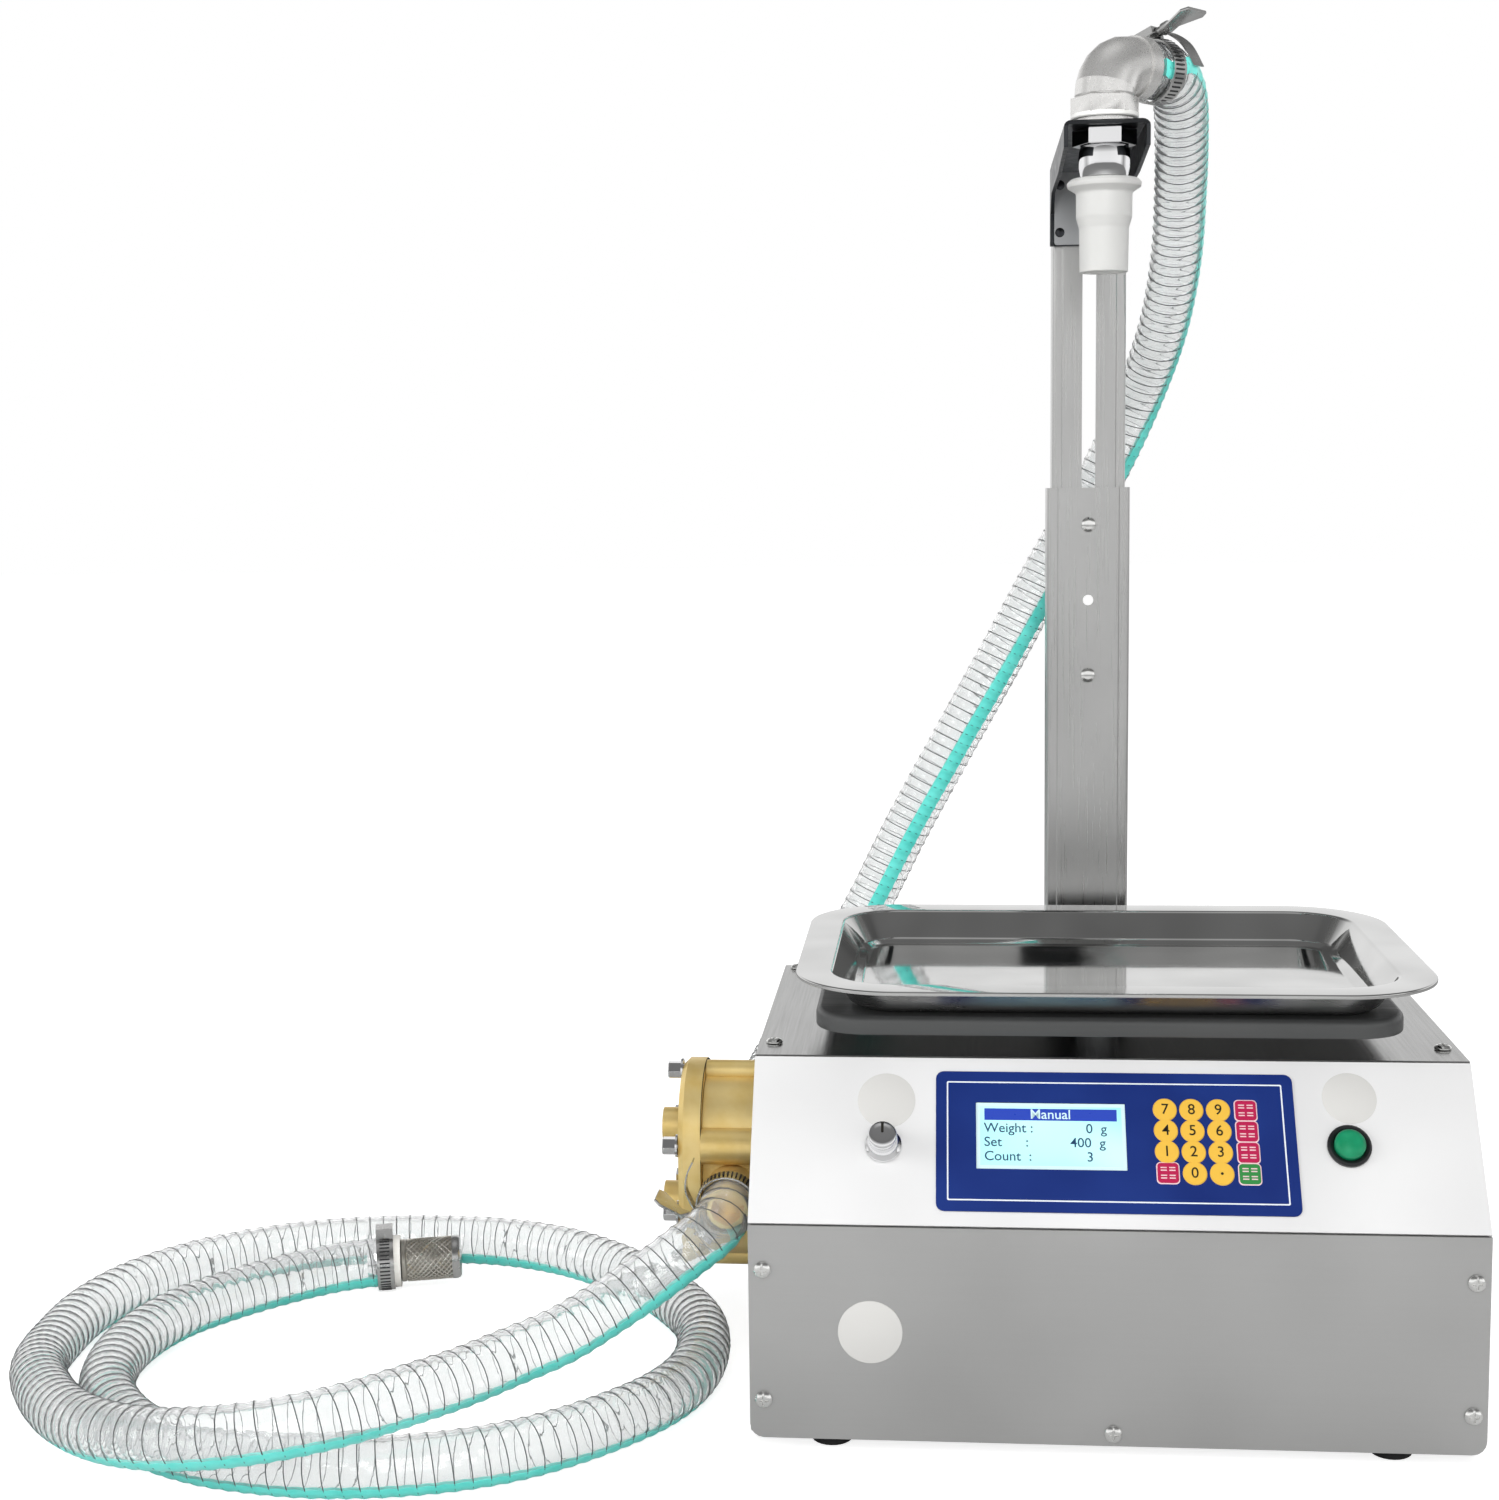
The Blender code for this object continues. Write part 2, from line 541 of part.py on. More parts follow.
def build_scale(machine, materials):
    """Load cell on the base pan, its post through the top plate, the platform and the loose tray."""
    cell_half = 60.0
    cell_width = 15.0
    cell_top = 46.0
    place("load_cell", block("load_cell", (-cell_half, TRAY_CENTRE_Y - cell_width,
                                           FOOT_HEIGHT + SHEET + GAP),
                             (cell_half, TRAY_CENTRE_Y + cell_width, cell_top)), materials["aluminium"],
          parent=machine)
    post_radius = 11.0
    platform_low = PLATFORM_TOP - 9.5
    platform_under = PLATFORM_TOP - 2.0
    place("platform_post", turned("platform_post", [
        (15.0, cell_top + GAP), (15.0, cell_top + 6.0), (post_radius, cell_top + 6.0),
        (post_radius, platform_under - GAP),
    ], 24), materials["aluminium"], (0.0, TRAY_CENTRE_Y, 0.0), parent=machine)

    corner = 26.0
    width, depth = PLATFORM_SIZE
    place("scale_platform", loft("scale_platform", [
        rectangle_loop(width - 4.0, depth - 4.0, platform_under, corner - 2.0),
        rectangle_loop(width - 4.0, depth - 4.0, platform_low, corner - 2.0),
        rectangle_loop(width, depth, platform_low, corner),
        rectangle_loop(width, depth, PLATFORM_TOP - 1.5, corner),
        rectangle_loop(width - 3.0, depth - 3.0, PLATFORM_TOP, corner - 1.5),
    ]), materials["stainless"], (0.0, TRAY_CENTRE_Y, 0.0), parent=machine)

    # pressed tray: thin turned edge, flat rim, steep wall and a flat floor, as (inset, height, corner radius)
    wall = 1.0
    floor = PLATFORM_TOP + GAP
    section = [
        (36.0, floor + wall, 18.0), (31.0, floor + 1.6, 22.0), (28.0, floor + 4.2, 25.0),
        (20.5, TRAY_TOP - 2.2, 32.0), (18.0, TRAY_TOP, 34.5), (1.2, TRAY_TOP, 50.8),
        (0.2, TRAY_TOP - 0.6, 51.8), (0.0, TRAY_TOP - 1.4, 52.0), (0.5, TRAY_TOP - 2.3, 51.5),
        (1.6, TRAY_TOP - 2.3, 50.4), (2.4, TRAY_TOP - wall, 49.6), (17.4, TRAY_TOP - wall, 35.0),
        (19.6, TRAY_TOP - 2.9, 33.0),
        (27.0, floor + 3.6, 26.0), (30.4, floor + 0.6, 22.5), (34.0, floor, 19.5),
    ]
    width, depth = TRAY_SIZE
    loops = [rectangle_loop(width - 2.0 * inset, depth - 2.0 * inset, z, radius)
             for inset, z, radius in section]
    place("tray", loft("tray", loops), materials["mirror_steel"], (TRAY_X, TRAY_CENTRE_Y, 0.0),
          parent=machine)


def gear_outline(teeth, centres):
    """Involute spur gear outline for two equal gears at that centre distance, thinned for backlash."""
    pitch = centres / 2.0
    base = pitch * math.cos(math.radians(20.0))
    root = 2.0 * pitch - GEAR_OUTER - 0.9
    half_tooth = math.pi / teeth / 2.0 * 0.86
    involute = lambda radius: (math.sqrt(max((radius / base) ** 2 - 1.0, 0.0))
                               - math.acos(min(base / radius, 1.0)))
    flank = [base + (GEAR_OUTER - base) * i / 4.0 for i in range(5)]
    lean = [half_tooth + involute(pitch) - involute(radius) for radius in flank]
    side = [(root, lean[0])] + list(zip(flank, lean))
    outline = []
    for tooth in range(teeth):
        middle = 2.0 * math.pi * tooth / teeth
        for radius, angle in side:
            outline.append((radius, middle - angle))
        for radius, angle in reversed(side):
            outline.append((radius, middle + angle))
    return [(radius * math.cos(angle), radius * math.sin(angle)) for radius, angle in outline]


def build_pump(machine, materials):
    """External gear pump bolted to the cabinet's left side, with the motor behind the panel."""
    pump = make_empty("pump_frame", (-CABINET_WIDTH / 2.0, PUMP_Y, PUMP_Z), (0.0, -math.pi / 2.0, 0.0),
                      machine)
    brass = materials["brass"]
    half_centres = GEAR_CENTRES / 2.0
    body_top = GAP + PUMP_BODY_DEPTH
    chamber_floor = 5.0
    cover_low = body_top + GAP
    cover_high = cover_low + PUMP_COVER_DEPTH
    round_radius = 37.5
    chamfer = 3.0
    shaft = 6.0
    bearing = 6.1
    bolt_spots = [(52.5, 0.0), (18.5, -LUG_OFFSET), (-18.5, -LUG_OFFSET), (-52.5, 0.0)]
    end_lugs = [(52.5, 0.0), (-52.5, 0.0)]
    side_lugs = [(x, side * LUG_OFFSET) for x in (18.5, -18.5) for side in (-1.0, 1.0)]
    bolt_hole = 3.3

    # body: casting with bolt lugs, two ports, a pilot into the cabinet and the gear chamber
    body = place("pump_body", loft("pump_body", [
        stadium_loop(29.5, half_centres, GAP), stadium_loop(29.5, half_centres, body_top)]), brass,
        parent=pump)
    combine(body, cylinders("pump_end_lugs", end_lugs, 5.6, GAP, body_top), "UNION", parent=pump)
    combine(body, cylinders("pump_side_lugs", side_lugs, 9.8, GAP, body_top), "UNION", parent=pump)
    combine(body, turned("pump_ports", [(14.2, -PORT_REACH), (14.2, PORT_REACH)], 24), "UNION",
            (-PORT_DROP, 0.0, PORT_X), (math.pi / 2.0, 0.0, 0.0), pump)
    combine(body, turned("pump_pilot", [(18.0, -8.0), (18.0, 2.0)], 24), "UNION", (half_centres, 0.0, 0.0),
            parent=pump)
    combine(body, cylinders("pump_chamber_upper", [(half_centres, 0.0)], CHAMBER_RADIUS, chamber_floor,
                            60.0, 40),
            "DIFFERENCE", parent=pump)
    combine(body, cylinders("pump_chamber_lower", [(-half_centres, 0.0)], CHAMBER_RADIUS, chamber_floor,
                            60.0, 40),
            "DIFFERENCE", parent=pump)
    combine(body, cylinders("pump_shaft_bore", [(half_centres, 0.0)], bearing, -20.0, 60.0), "DIFFERENCE",
            parent=pump)
    combine(body, cylinders("pump_body_bolt_holes", bolt_spots, bolt_hole, 14.0, 60.0, 16), "DIFFERENCE",
            parent=pump)

    # cover: thick plate with two bearing bosses, blind bores and the bolts
    cover = place("pump_cover", loft("pump_cover", [
        stadium_loop(round_radius, half_centres, cover_low),
        stadium_loop(round_radius, half_centres, cover_high - chamfer),
        stadium_loop(round_radius - chamfer, half_centres, cover_high)]), brass, parent=pump)
    boss_high = cover_high + 11.7
    gears = [(half_centres, 0.0), (-half_centres, 0.0)]
    combine(cover, cylinders("cover_bosses", gears, 9.8, cover_high - 5.0, boss_high), "UNION", parent=pump)
    combine(cover, cylinders("cover_bores", gears, bearing, 0.0, boss_high - 3.0), "DIFFERENCE",
            parent=pump)
    combine(cover, cylinders("cover_bolt_holes", bolt_spots, bolt_hole, 0.0, 80.0, 16), "DIFFERENCE",
            parent=pump)
    bolt = hex_bolt("pump_bolt", 8.6, 8.8, 2.9, 28.0)
    for number, (x, y) in enumerate(bolt_spots, 1):
        place(f"pump_bolt_{number}", bolt, materials["chrome"], (x, y, cover_high), parent=pump)

    # gears with their shafts: the driver reaches the motor, the idler stays inside
    gear_low = chamber_floor + 0.25
    gear_high = body_top - 0.15
    outline = gear_outline(GEAR_TEETH, GEAR_CENTRES)
    half_step = math.pi / GEAR_TEETH
    shaft_end = boss_high - 3.5
    motor_gap = -13.0
    for name, x, turn, foot in (("drive_gear", half_centres, math.pi, motor_gap),
                                ("idler_gear", -half_centres, half_step, gear_low)):
        gear = place(name, extruded(name, outline, gear_low, gear_high), materials["steel_dark"],
                     (x, 0.0, 0.0), (0.0, 0.0, turn), pump)
        axle = turned(name + "_shaft", [(shaft, foot - 0.001), (shaft, shaft_end)], 24)
        combine(gear, axle, "UNION", (x, 0.0, 0.0), (0.0, 0.0, 0.0), pump)

    # hose barbs: a collar outside the port, where the hose is pushed on
    collar = PORT_REACH + GAP
    barb = turned("barb", [(12.0, collar), (12.0, collar + 1.0), (14.0, collar + 1.0),
                           (14.0, collar + 2.8)], 24)
    place("inlet_barb", barb, materials["chrome"], (-PORT_DROP, 0.0, PORT_X), (math.pi / 2.0, 0.0, 0.0),
          pump)
    place("outlet_barb", barb, materials["chrome"], (-PORT_DROP, 0.0, PORT_X), (-math.pi / 2.0, 0.0, 0.0),
          pump)

    # geared motor on its pedestal: a round can that runs down into a block
    motor_radius = 34.0
    axis_z = PUMP_Z + half_centres
    pedestal = 24.0
    floor = FOOT_HEIGHT + SHEET + GAP
    start = math.asin(pedestal / motor_radius)
    outline = [(PUMP_Y - pedestal, floor), (PUMP_Y + pedestal, floor)]
    for i in range(29):
        angle = start + (2.0 * math.pi - 2.0 * start) * i / 28.0
        outline.append((PUMP_Y + motor_radius * math.sin(angle), axis_z - motor_radius * math.cos(angle)))
    place("pump_motor", extruded("pump_motor", outline, -166.0, -75.0, "X"), materials["black_paint"],
          parent=machine)
    return pump


def wing_screw(name):
    """Worm screw along Z with a flat wing across its end."""
    screw = loft(name, [
        circle_loop(2.6, 0.0, 24), circle_loop(2.6, 12.0, 24), circle_loop(3.4, 12.0, 24),
        circle_loop(3.4, 16.0, 24),
        rectangle_loop(9.0, 1.6, 19.0, 0.6, corner_steps=5), rectangle_loop(19.0, 1.6, 31.0, 0.6,
                                                                            corner_steps=5),
        rectangle_loop(15.0, 1.6, 35.0, 0.6, corner_steps=5),
    ])
    return screw


def clamp_band(name):
    """A worm-drive hose band round the hose, with the screw's housing on it, lying in XY."""
    inner = HOSE_RADIUS + 2.0 * GAP
    outer = inner + 1.0
    half_width = 5.0
    return turned_ring(name, [(inner, -half_width), (outer, -half_width), (outer, half_width),
                              (inner, half_width)])


def build_clamp(name, hose_end, screw_axis, side, machine, materials):
    """One wing-screw clamp on the straight end of a hose: band and housing as one piece, and the wing screw.

    side is +1 or -1, for which side of the hose the screw's housing is on.
    """
    start, straight = hose_end
    along = (straight - start).normalized()
    centre = start + along * CLAMP_FROM_END
    out = Vector(screw_axis).normalized()
    out = (out - along * out.dot(along)).normalized()
    radial = along.cross(out) * side
    from_axes = Matrix((out, radial, out.cross(radial))).transposed()
    turn = from_axes.to_euler()
    band = place(name + "_band", clamp_band(name + "_band"), materials["chrome"], centre, turn, machine)
    housing = block(name + "_housing", (-6.0, HOSE_RADIUS + GAP + 0.5, -4.6),
                    (6.0, HOSE_RADIUS + GAP + 7.6, 4.6))
    combine(band, housing, "UNION", centre, turn, machine)
    screw_lift = HOSE_RADIUS + GAP + 4.2
    combine(band, turned(name + "_screw_bore", [(3.0, 0.0), (3.0, 20.0)], 16), "DIFFERENCE",
            centre + from_axes @ Vector((-3.0, screw_lift, 0.0)),
            (from_axes @ Euler((0.0, math.pi / 2.0, 0.0)).to_matrix()).to_euler(), machine)
    place(name + "_wing_screw", wing_screw(name + "_wing_screw"), materials["chrome"],
          centre + from_axes @ Vector((-2.0, screw_lift, 0.0)),
          (from_axes @ Euler((0.0, math.pi / 2.0, 0.0)).to_matrix()).to_euler(), machine)


def channel(name, width, depth, wall, front, low, high, radius):
    """A C-section with its web to the front and its open side to the back."""
    half = width / 2.0
    outline = []
    for side in (-1, 1):
        for i in range(5):
            angle = math.pi / 2.0 * i / 4.0
            reach = math.sin(angle) if side > 0 else math.cos(angle)
            drop = math.cos(angle) if side > 0 else math.sin(angle)
            outline.append((COLUMN_X + side * (half - radius + radius * reach),
                            front + radius - radius * drop))
    outline += [(COLUMN_X + half, front + depth), (COLUMN_X + half - wall, front + depth),
                (COLUMN_X + half - wall, front + wall), (COLUMN_X - half + wall, front + wall),
                (COLUMN_X - half + wall, front + depth), (COLUMN_X - half, front + depth)]
    return extruded(name, outline, low, high)


def build_column(machine, materials):
    """Outer column bolted behind the cabinet, inner column sliding in it, and the nozzle arm on top."""
    to_front = (math.pi / 2.0, 0.0, 0.0)
    outer = place("outer_column", channel("outer_column", OUTER_WIDTH, OUTER_DEPTH, COLUMN_WALL,
                                          COLUMN_FRONT,
                                          OUTER_BOTTOM, OUTER_TOP, 2.5), materials["satin_steel"],
                                          parent=machine)
    holes = [(COLUMN_X, z) for z in (*COLUMN_SCREW_Z, SIGHT_HOLE_Z)]
    combine(outer, cylinders("outer_column_holes", holes, 3.1, -290.0, -260.0, 20), "DIFFERENCE",
            turn=to_front, parent=machine)

    inner_front = COLUMN_FRONT + COLUMN_WALL + 0.5
    inner = place("inner_column", channel("inner_column", INNER_WIDTH, INNER_DEPTH, COLUMN_WALL,
                                          inner_front,
                                          INNER_BOTTOM, INNER_TOP, 2.0), materials["satin_steel"],
                                          parent=machine)
    slot = rectangle_loop(SLOT_WIDTH, SLOT_TOP - SLOT_BOTTOM, 0.0, SLOT_WIDTH / 2.0 - 0.01,
                          (COLUMN_X, (SLOT_TOP + SLOT_BOTTOM) / 2.0))
    slot = [(point.x, point.y) for point in slot]
    combine(inner, extruded("inner_column_slot", slot, 265.0, 283.0, "Y"), "DIFFERENCE", parent=machine)

    # column screws: pan head in front, clamp nut behind the slot, as one turned piece
    behind = inner_front - COLUMN_FRONT + COLUMN_WALL + GAP
    bolt = turned("column_screw", [
        (2.2, 2.6), (3.6, 2.2), (4.4, 1.2), (4.4, GAP), (2.6, GAP), (2.6, -behind), (7.0, -behind),
        (7.0, -behind - 5.0),
    ], 24)
    for number, z in enumerate(COLUMN_SCREW_Z, 1):
        place(f"column_screw_{number}", bolt, materials["chrome"], (COLUMN_X, COLUMN_FRONT, z), to_front,
              machine)

    # nozzle bracket: back plate on the inner column, arm forward to the nozzle, a cheek down each side
    back = inner_front - GAP
    bracket_half = 22.0
    front = NOZZLE_Y - 21.0
    rear_top = PLATE_TOP - 3.5
    arm = [(back, 618.0), (back, rear_top), (back - 70.0, PLATE_TOP), (front + 3.0, PLATE_TOP),
           (front, PLATE_TOP - 3.0), (front, PLATE_TOP - 14.0), (back - 96.0, PLATE_TOP - 19.0),
           (back - 20.0, 646.0), (back - 6.0, 636.0), (back - 6.0, 618.0)]
    bracket = place("nozzle_bracket", extruded("nozzle_bracket", arm, NOZZLE_X - bracket_half - 1.0,
                                               NOZZLE_X + bracket_half + 1.0, "X"), materials["dark_steel"],
                    parent=machine)
    bends = rectangle_loop(2.0 * bracket_half, 100.0, 0.0, 4.0, (NOZZLE_X, PLATE_TOP - 50.0))
    bends = [(point.x, point.y) for point in bends]
    combine(bracket, extruded("bracket_bends", bends, 100.0, 300.0, "Y"), "INTERSECT", parent=machine)
    hollow = [(back - PLATE_THICKNESS, 610.0), (back - PLATE_THICKNESS, rear_top - PLATE_THICKNESS),
              (back - 70.0, PLATE_TOP - PLATE_THICKNESS), (front - 5.0, PLATE_TOP - PLATE_THICKNESS),
              (front - 5.0, 610.0)]
    cheek = 2.2
    combine(bracket, extruded("bracket_hollow", hollow, NOZZLE_X - bracket_half + cheek,
                              NOZZLE_X + bracket_half - cheek, "X"), "DIFFERENCE", parent=machine)
    combine(bracket, cylinders("bracket_hole", [(NOZZLE_X, NOZZLE_Y)], 10.6, 640.0, 690.0), "DIFFERENCE",
            parent=machine)

    # bulkhead fitting: shank through the plate, hexagon below it, chrome spout
    nozzle = (NOZZLE_X, NOZZLE_Y, 0.0)
    hex_top = PLATE_TOP - PLATE_THICKNESS - GAP
    hex_low = hex_top - 8.4
    sleeve_top = 637.5
    place("bulkhead_fitting", loft("bulkhead_fitting", [
        circle_loop(8.6, hex_low, 24), circle_loop(8.6, 620.0, 24), circle_loop(11.0, 620.0, 24),
        circle_loop(11.2, sleeve_top + 0.5, 24), circle_loop(12.8, sleeve_top + 6.0, 24),
        circle_loop(13.3, sleeve_top + 10.0, 24), circle_loop(12.6, hex_low - 3.0, 24),
        circle_loop(10.6, hex_low, 24), hexagon_loop(29.0, hex_low, turn=NUT_TURN),
        hexagon_loop(29.0, hex_top, turn=NUT_TURN), circle_loop(10.3, hex_top, 24),
        circle_loop(10.3, PLATE_TOP + 10.0, 24),
    ]), materials["chrome"], nozzle, parent=machine)

    # nozzle sleeve, pushed up over the spout
    place("nozzle_sleeve", turned_ring("nozzle_sleeve", [
        (11.5, sleeve_top), (11.3, 618.5), (9.6, 617.0), (9.6, 590.0), (12.5, 590.0), (12.7, 612.0),
        (14.2, 617.0), (14.4, 631.0), (18.8, 633.4), (19.4, 635.6), (17.6, sleeve_top),
    ]), materials["sleeve"], nozzle, parent=machine)

    # elbow: hexagon and ring on the plate, then a bend to the rear right
    bend = 16.0
    hexagon_low = PLATE_TOP + 5.0
    hexagon_high = PLATE_TOP + 13.3
    loops = [circle_loop(10.6, PLATE_TOP + 10.5, 24), circle_loop(10.6, PLATE_TOP + GAP, 24),
             circle_loop(15.6, PLATE_TOP + GAP, 24), circle_loop(15.6, PLATE_TOP + 2.6, 24),
             circle_loop(17.0, PLATE_TOP + 2.6, 24), circle_loop(17.0, hexagon_low, 24),
             hexagon_loop(30.6, hexagon_low, turn=ELBOW_HEX_TURN),
             hexagon_loop(30.6, hexagon_high, turn=ELBOW_HEX_TURN),
             circle_loop(14.9, hexagon_high, 24), circle_loop(ELBOW_RADIUS, hexagon_high + 1.5, 24)]
    for i in range(7):
        angle = math.pi / 2.0 * i / 6.0
        turn = Euler((0.0, angle, 0.0)).to_matrix()
        middle = Vector((bend - bend * math.cos(angle), 0.0, ELBOW_Z - bend + bend * math.sin(angle)))
        loops.append([middle + turn @ point for point in circle_loop(ELBOW_RADIUS, 0.0, 24)])
    side_on = Euler((0.0, math.pi / 2.0, 0.0)).to_matrix()
    for reach, radius in ((20.0, ELBOW_RADIUS), (20.0, 16.6), (27.5, 16.6), (27.5, 12.6),
                          (ELBOW_REACH, 12.6)):
        middle = Vector((reach, 0.0, ELBOW_Z))
        loops.append([middle + side_on @ point for point in circle_loop(radius, 0.0, 24)])
    place("elbow", loft("elbow", loops), materials["cast_steel"], nozzle, (0.0, 0.0, ELBOW_HEADING),
          machine)


def build_hoses(machine, materials):
    """Suction hose coiled beside the cabinet with its foot strainer, and the outlet hose up to the elbow."""
    inlet = smooth_route(INLET_ROUTE, ROUTE_STEP)
    outlet = smooth_route(OUTLET_ROUTE, ROUTE_STEP)
    hose("inlet_hose", inlet, materials["hose"], machine)
    hose("outlet_hose", outlet, materials["hose"], machine)
    build_clamp("inlet_clamp", inlet[:2], (-0.8, 0.0, 0.6), 1, machine, materials)
    build_clamp("outlet_clamp", (outlet[-1], outlet[-2]), (0.68, -0.68, 0.28), -1, machine, materials)

    # foot strainer in the hose's free end, under a worm clamp
    end = inlet[-1]
    heading = (end - inlet[-2]).normalized()
    turn = heading.to_track_quat("Z", "Y").to_euler()
    place("foot_strainer", turned("foot_strainer", [
        (12.6, 1.0), (12.6, 3.4), (12.0, 3.8), (12.0, 34.0), (11.0, 36.0), (6.0, 36.5),
    ]), materials["mesh_steel"], end, turn, machine)
    centre = end - heading * CLAMP_FROM_END
    band = place("strainer_clamp", clamp_band("strainer_clamp"), materials["chrome"], centre, turn, machine)
    housing = block("strainer_housing", (-5.0, HOSE_RADIUS + GAP + 0.5, -5.0),
                    (5.0, HOSE_RADIUS + GAP + 7.0, 5.0))
    combine(band, housing, "UNION", centre, turn, machine)


def build_machine():
    """All sub-parts, each with the colour and sheen of what it is made of."""
    clear_scene()
    materials = {
        "stainless": make_material("stainless", (0.62, 0.62, 0.61), 1.0, 0.3),
        "bright_steel": make_material("bright_steel", (0.86, 0.86, 0.86), 1.0, 0.25),
        "mirror_steel": make_material("mirror_steel", (0.72, 0.72, 0.73), 1.0, 0.12),
        "satin_steel": make_material("satin_steel", (0.6, 0.6, 0.6), 1.0, 0.35),
        "dark_steel": make_material("dark_steel", (0.25, 0.25, 0.26), 1.0, 0.4),
        "cast_steel": make_material("cast_steel", (0.65, 0.65, 0.64), 1.0, 0.4),
        "steel_dark": make_material("gear_steel", (0.45, 0.45, 0.47), 1.0, 0.35),
        "mesh_steel": make_material("mesh_steel", (0.5, 0.48, 0.44), 1.0, 0.45),
        "chrome": make_material("chrome", (0.8, 0.8, 0.8), 1.0, 0.1),
        "zinc": make_material("zinc", (0.55, 0.56, 0.57), 1.0, 0.5),
        "aluminium": make_material("aluminium", (0.7, 0.7, 0.72), 1.0, 0.4),
        "screw": make_material("screw", (0.45, 0.45, 0.45), 1.0, 0.3),
        "brass": make_material("brass", (0.62, 0.42, 0.12), 1.0, 0.35),
        "black_rubber": make_material("black_rubber", (0.02, 0.02, 0.02), 0.0, 0.7),
        "black_plastic": make_material("black_plastic", (0.02, 0.02, 0.02), 0.0, 0.35),
        "black_paint": make_material("black_paint", (0.03, 0.03, 0.03), 0.0, 0.5),
        "green_plastic": make_material("green_plastic", (0.02, 0.3, 0.15), 0.0, 0.3),
        "overlay": make_material("overlay", (0.012, 0.03, 0.2), 0.0, 0.4),
        "circuit_board": make_material("circuit_board", (0.05, 0.2, 0.1), 0.0, 0.5),
        "sleeve": make_material("sleeve", (0.85, 0.85, 0.84), 0.0, 0.5),
        "hose": make_material("hose", (0.6, 0.75, 0.73), 0.0, 0.15),
    }
    machine = make_empty("machine", (MACHINE_X, MACHINE_Y, 0.0))
    slope = make_empty("slope_frame", (0.0, 0.0, SLOPE_FOOT_Z), (SLOPE_ANGLE, 0.0, 0.0), machine)
    build_cabinet(machine, slope, materials)
    build_controls(machine, slope, materials)
    build_scale(machine, materials)
    build_pump(machine, materials)
    build_column(machine, materials)
    build_hoses(machine, materials)


build_machine()
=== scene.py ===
"""A bench-top weighing liquid filler: steel cabinet, gear pump, clear hoses, scale tray and nozzle column."""
import json
import math

import bmesh
import bpy
from mathutils import Matrix, Vector
from mathutils.geometry import interpolate_bezier

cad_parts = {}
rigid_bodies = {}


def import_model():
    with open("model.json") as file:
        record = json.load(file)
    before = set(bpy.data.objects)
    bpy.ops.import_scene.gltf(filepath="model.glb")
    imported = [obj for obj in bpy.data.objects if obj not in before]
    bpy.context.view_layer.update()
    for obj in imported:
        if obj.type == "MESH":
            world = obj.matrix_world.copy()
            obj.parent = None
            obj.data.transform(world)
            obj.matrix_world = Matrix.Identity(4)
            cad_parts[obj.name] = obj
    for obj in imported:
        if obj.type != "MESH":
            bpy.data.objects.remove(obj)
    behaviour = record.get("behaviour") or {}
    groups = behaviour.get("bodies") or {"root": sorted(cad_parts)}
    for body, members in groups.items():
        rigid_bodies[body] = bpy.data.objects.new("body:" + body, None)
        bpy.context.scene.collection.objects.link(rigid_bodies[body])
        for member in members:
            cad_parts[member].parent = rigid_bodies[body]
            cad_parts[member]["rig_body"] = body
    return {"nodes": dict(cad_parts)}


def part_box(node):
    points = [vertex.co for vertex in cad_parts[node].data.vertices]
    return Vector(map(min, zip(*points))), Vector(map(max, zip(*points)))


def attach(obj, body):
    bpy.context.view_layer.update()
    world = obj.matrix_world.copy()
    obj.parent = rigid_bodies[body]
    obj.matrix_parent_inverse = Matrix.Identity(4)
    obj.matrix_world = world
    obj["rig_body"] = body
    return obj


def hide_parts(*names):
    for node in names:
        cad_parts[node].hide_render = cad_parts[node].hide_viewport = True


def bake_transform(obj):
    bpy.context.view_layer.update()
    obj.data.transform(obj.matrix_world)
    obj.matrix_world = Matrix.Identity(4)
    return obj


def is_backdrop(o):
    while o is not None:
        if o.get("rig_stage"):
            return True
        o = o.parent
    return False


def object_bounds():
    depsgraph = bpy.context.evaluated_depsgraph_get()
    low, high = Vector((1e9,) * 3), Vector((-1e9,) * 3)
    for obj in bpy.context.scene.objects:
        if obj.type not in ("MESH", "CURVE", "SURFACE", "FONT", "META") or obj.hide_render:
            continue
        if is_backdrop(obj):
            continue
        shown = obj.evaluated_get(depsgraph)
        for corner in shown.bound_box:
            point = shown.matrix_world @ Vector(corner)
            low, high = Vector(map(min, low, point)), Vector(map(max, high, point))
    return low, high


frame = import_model()
cad_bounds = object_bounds()

# ---------------------------------------------------------------- Standing place and camera
# The machine stands on the floor at Z = 0, its front to -Y. Places below are in millimetres from
# the middle of the cabinet's front edge, as someone with a ruler would give them.
MM = 0.001
panel_low, panel_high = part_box("front_panel")
CABINET_MIDDLE = Vector(((panel_low.x + panel_high.x) / 2.0, panel_low.y, 0.0))


def place(x, y, z):
    """The spot that many millimetres from the middle of the cabinet's front edge."""
    return CABINET_MIDDLE + Vector((x, y, z)) * MM


CAMERA_AT = place(-79.2, -1055.1, 480.9)
CAMERA_YAW = math.radians(5.234)
CAMERA_PITCH = math.radians(6.782)
CAMERA_ROLL = math.radians(-0.757)
camera_data = bpy.data.cameras.new("camera")
camera_data.sensor_width = 36.0
camera_data.lens = 53.05
camera_data.clip_end = 60.0
camera = bpy.data.objects.new("camera", camera_data)
bpy.context.scene.collection.objects.link(camera)
camera_heading = Matrix.Rotation(CAMERA_YAW, 4, "Z")
camera_tilt = Matrix.Rotation(math.pi / 2.0 - CAMERA_PITCH, 4, "X")
camera_bank = Matrix.Rotation(CAMERA_ROLL, 4, "Z")
camera.matrix_world = Matrix.Translation(CAMERA_AT) @ camera_heading @ camera_tilt @ camera_bank
bpy.context.scene.camera = camera
bpy.context.scene.view_settings.view_transform = "Standard"


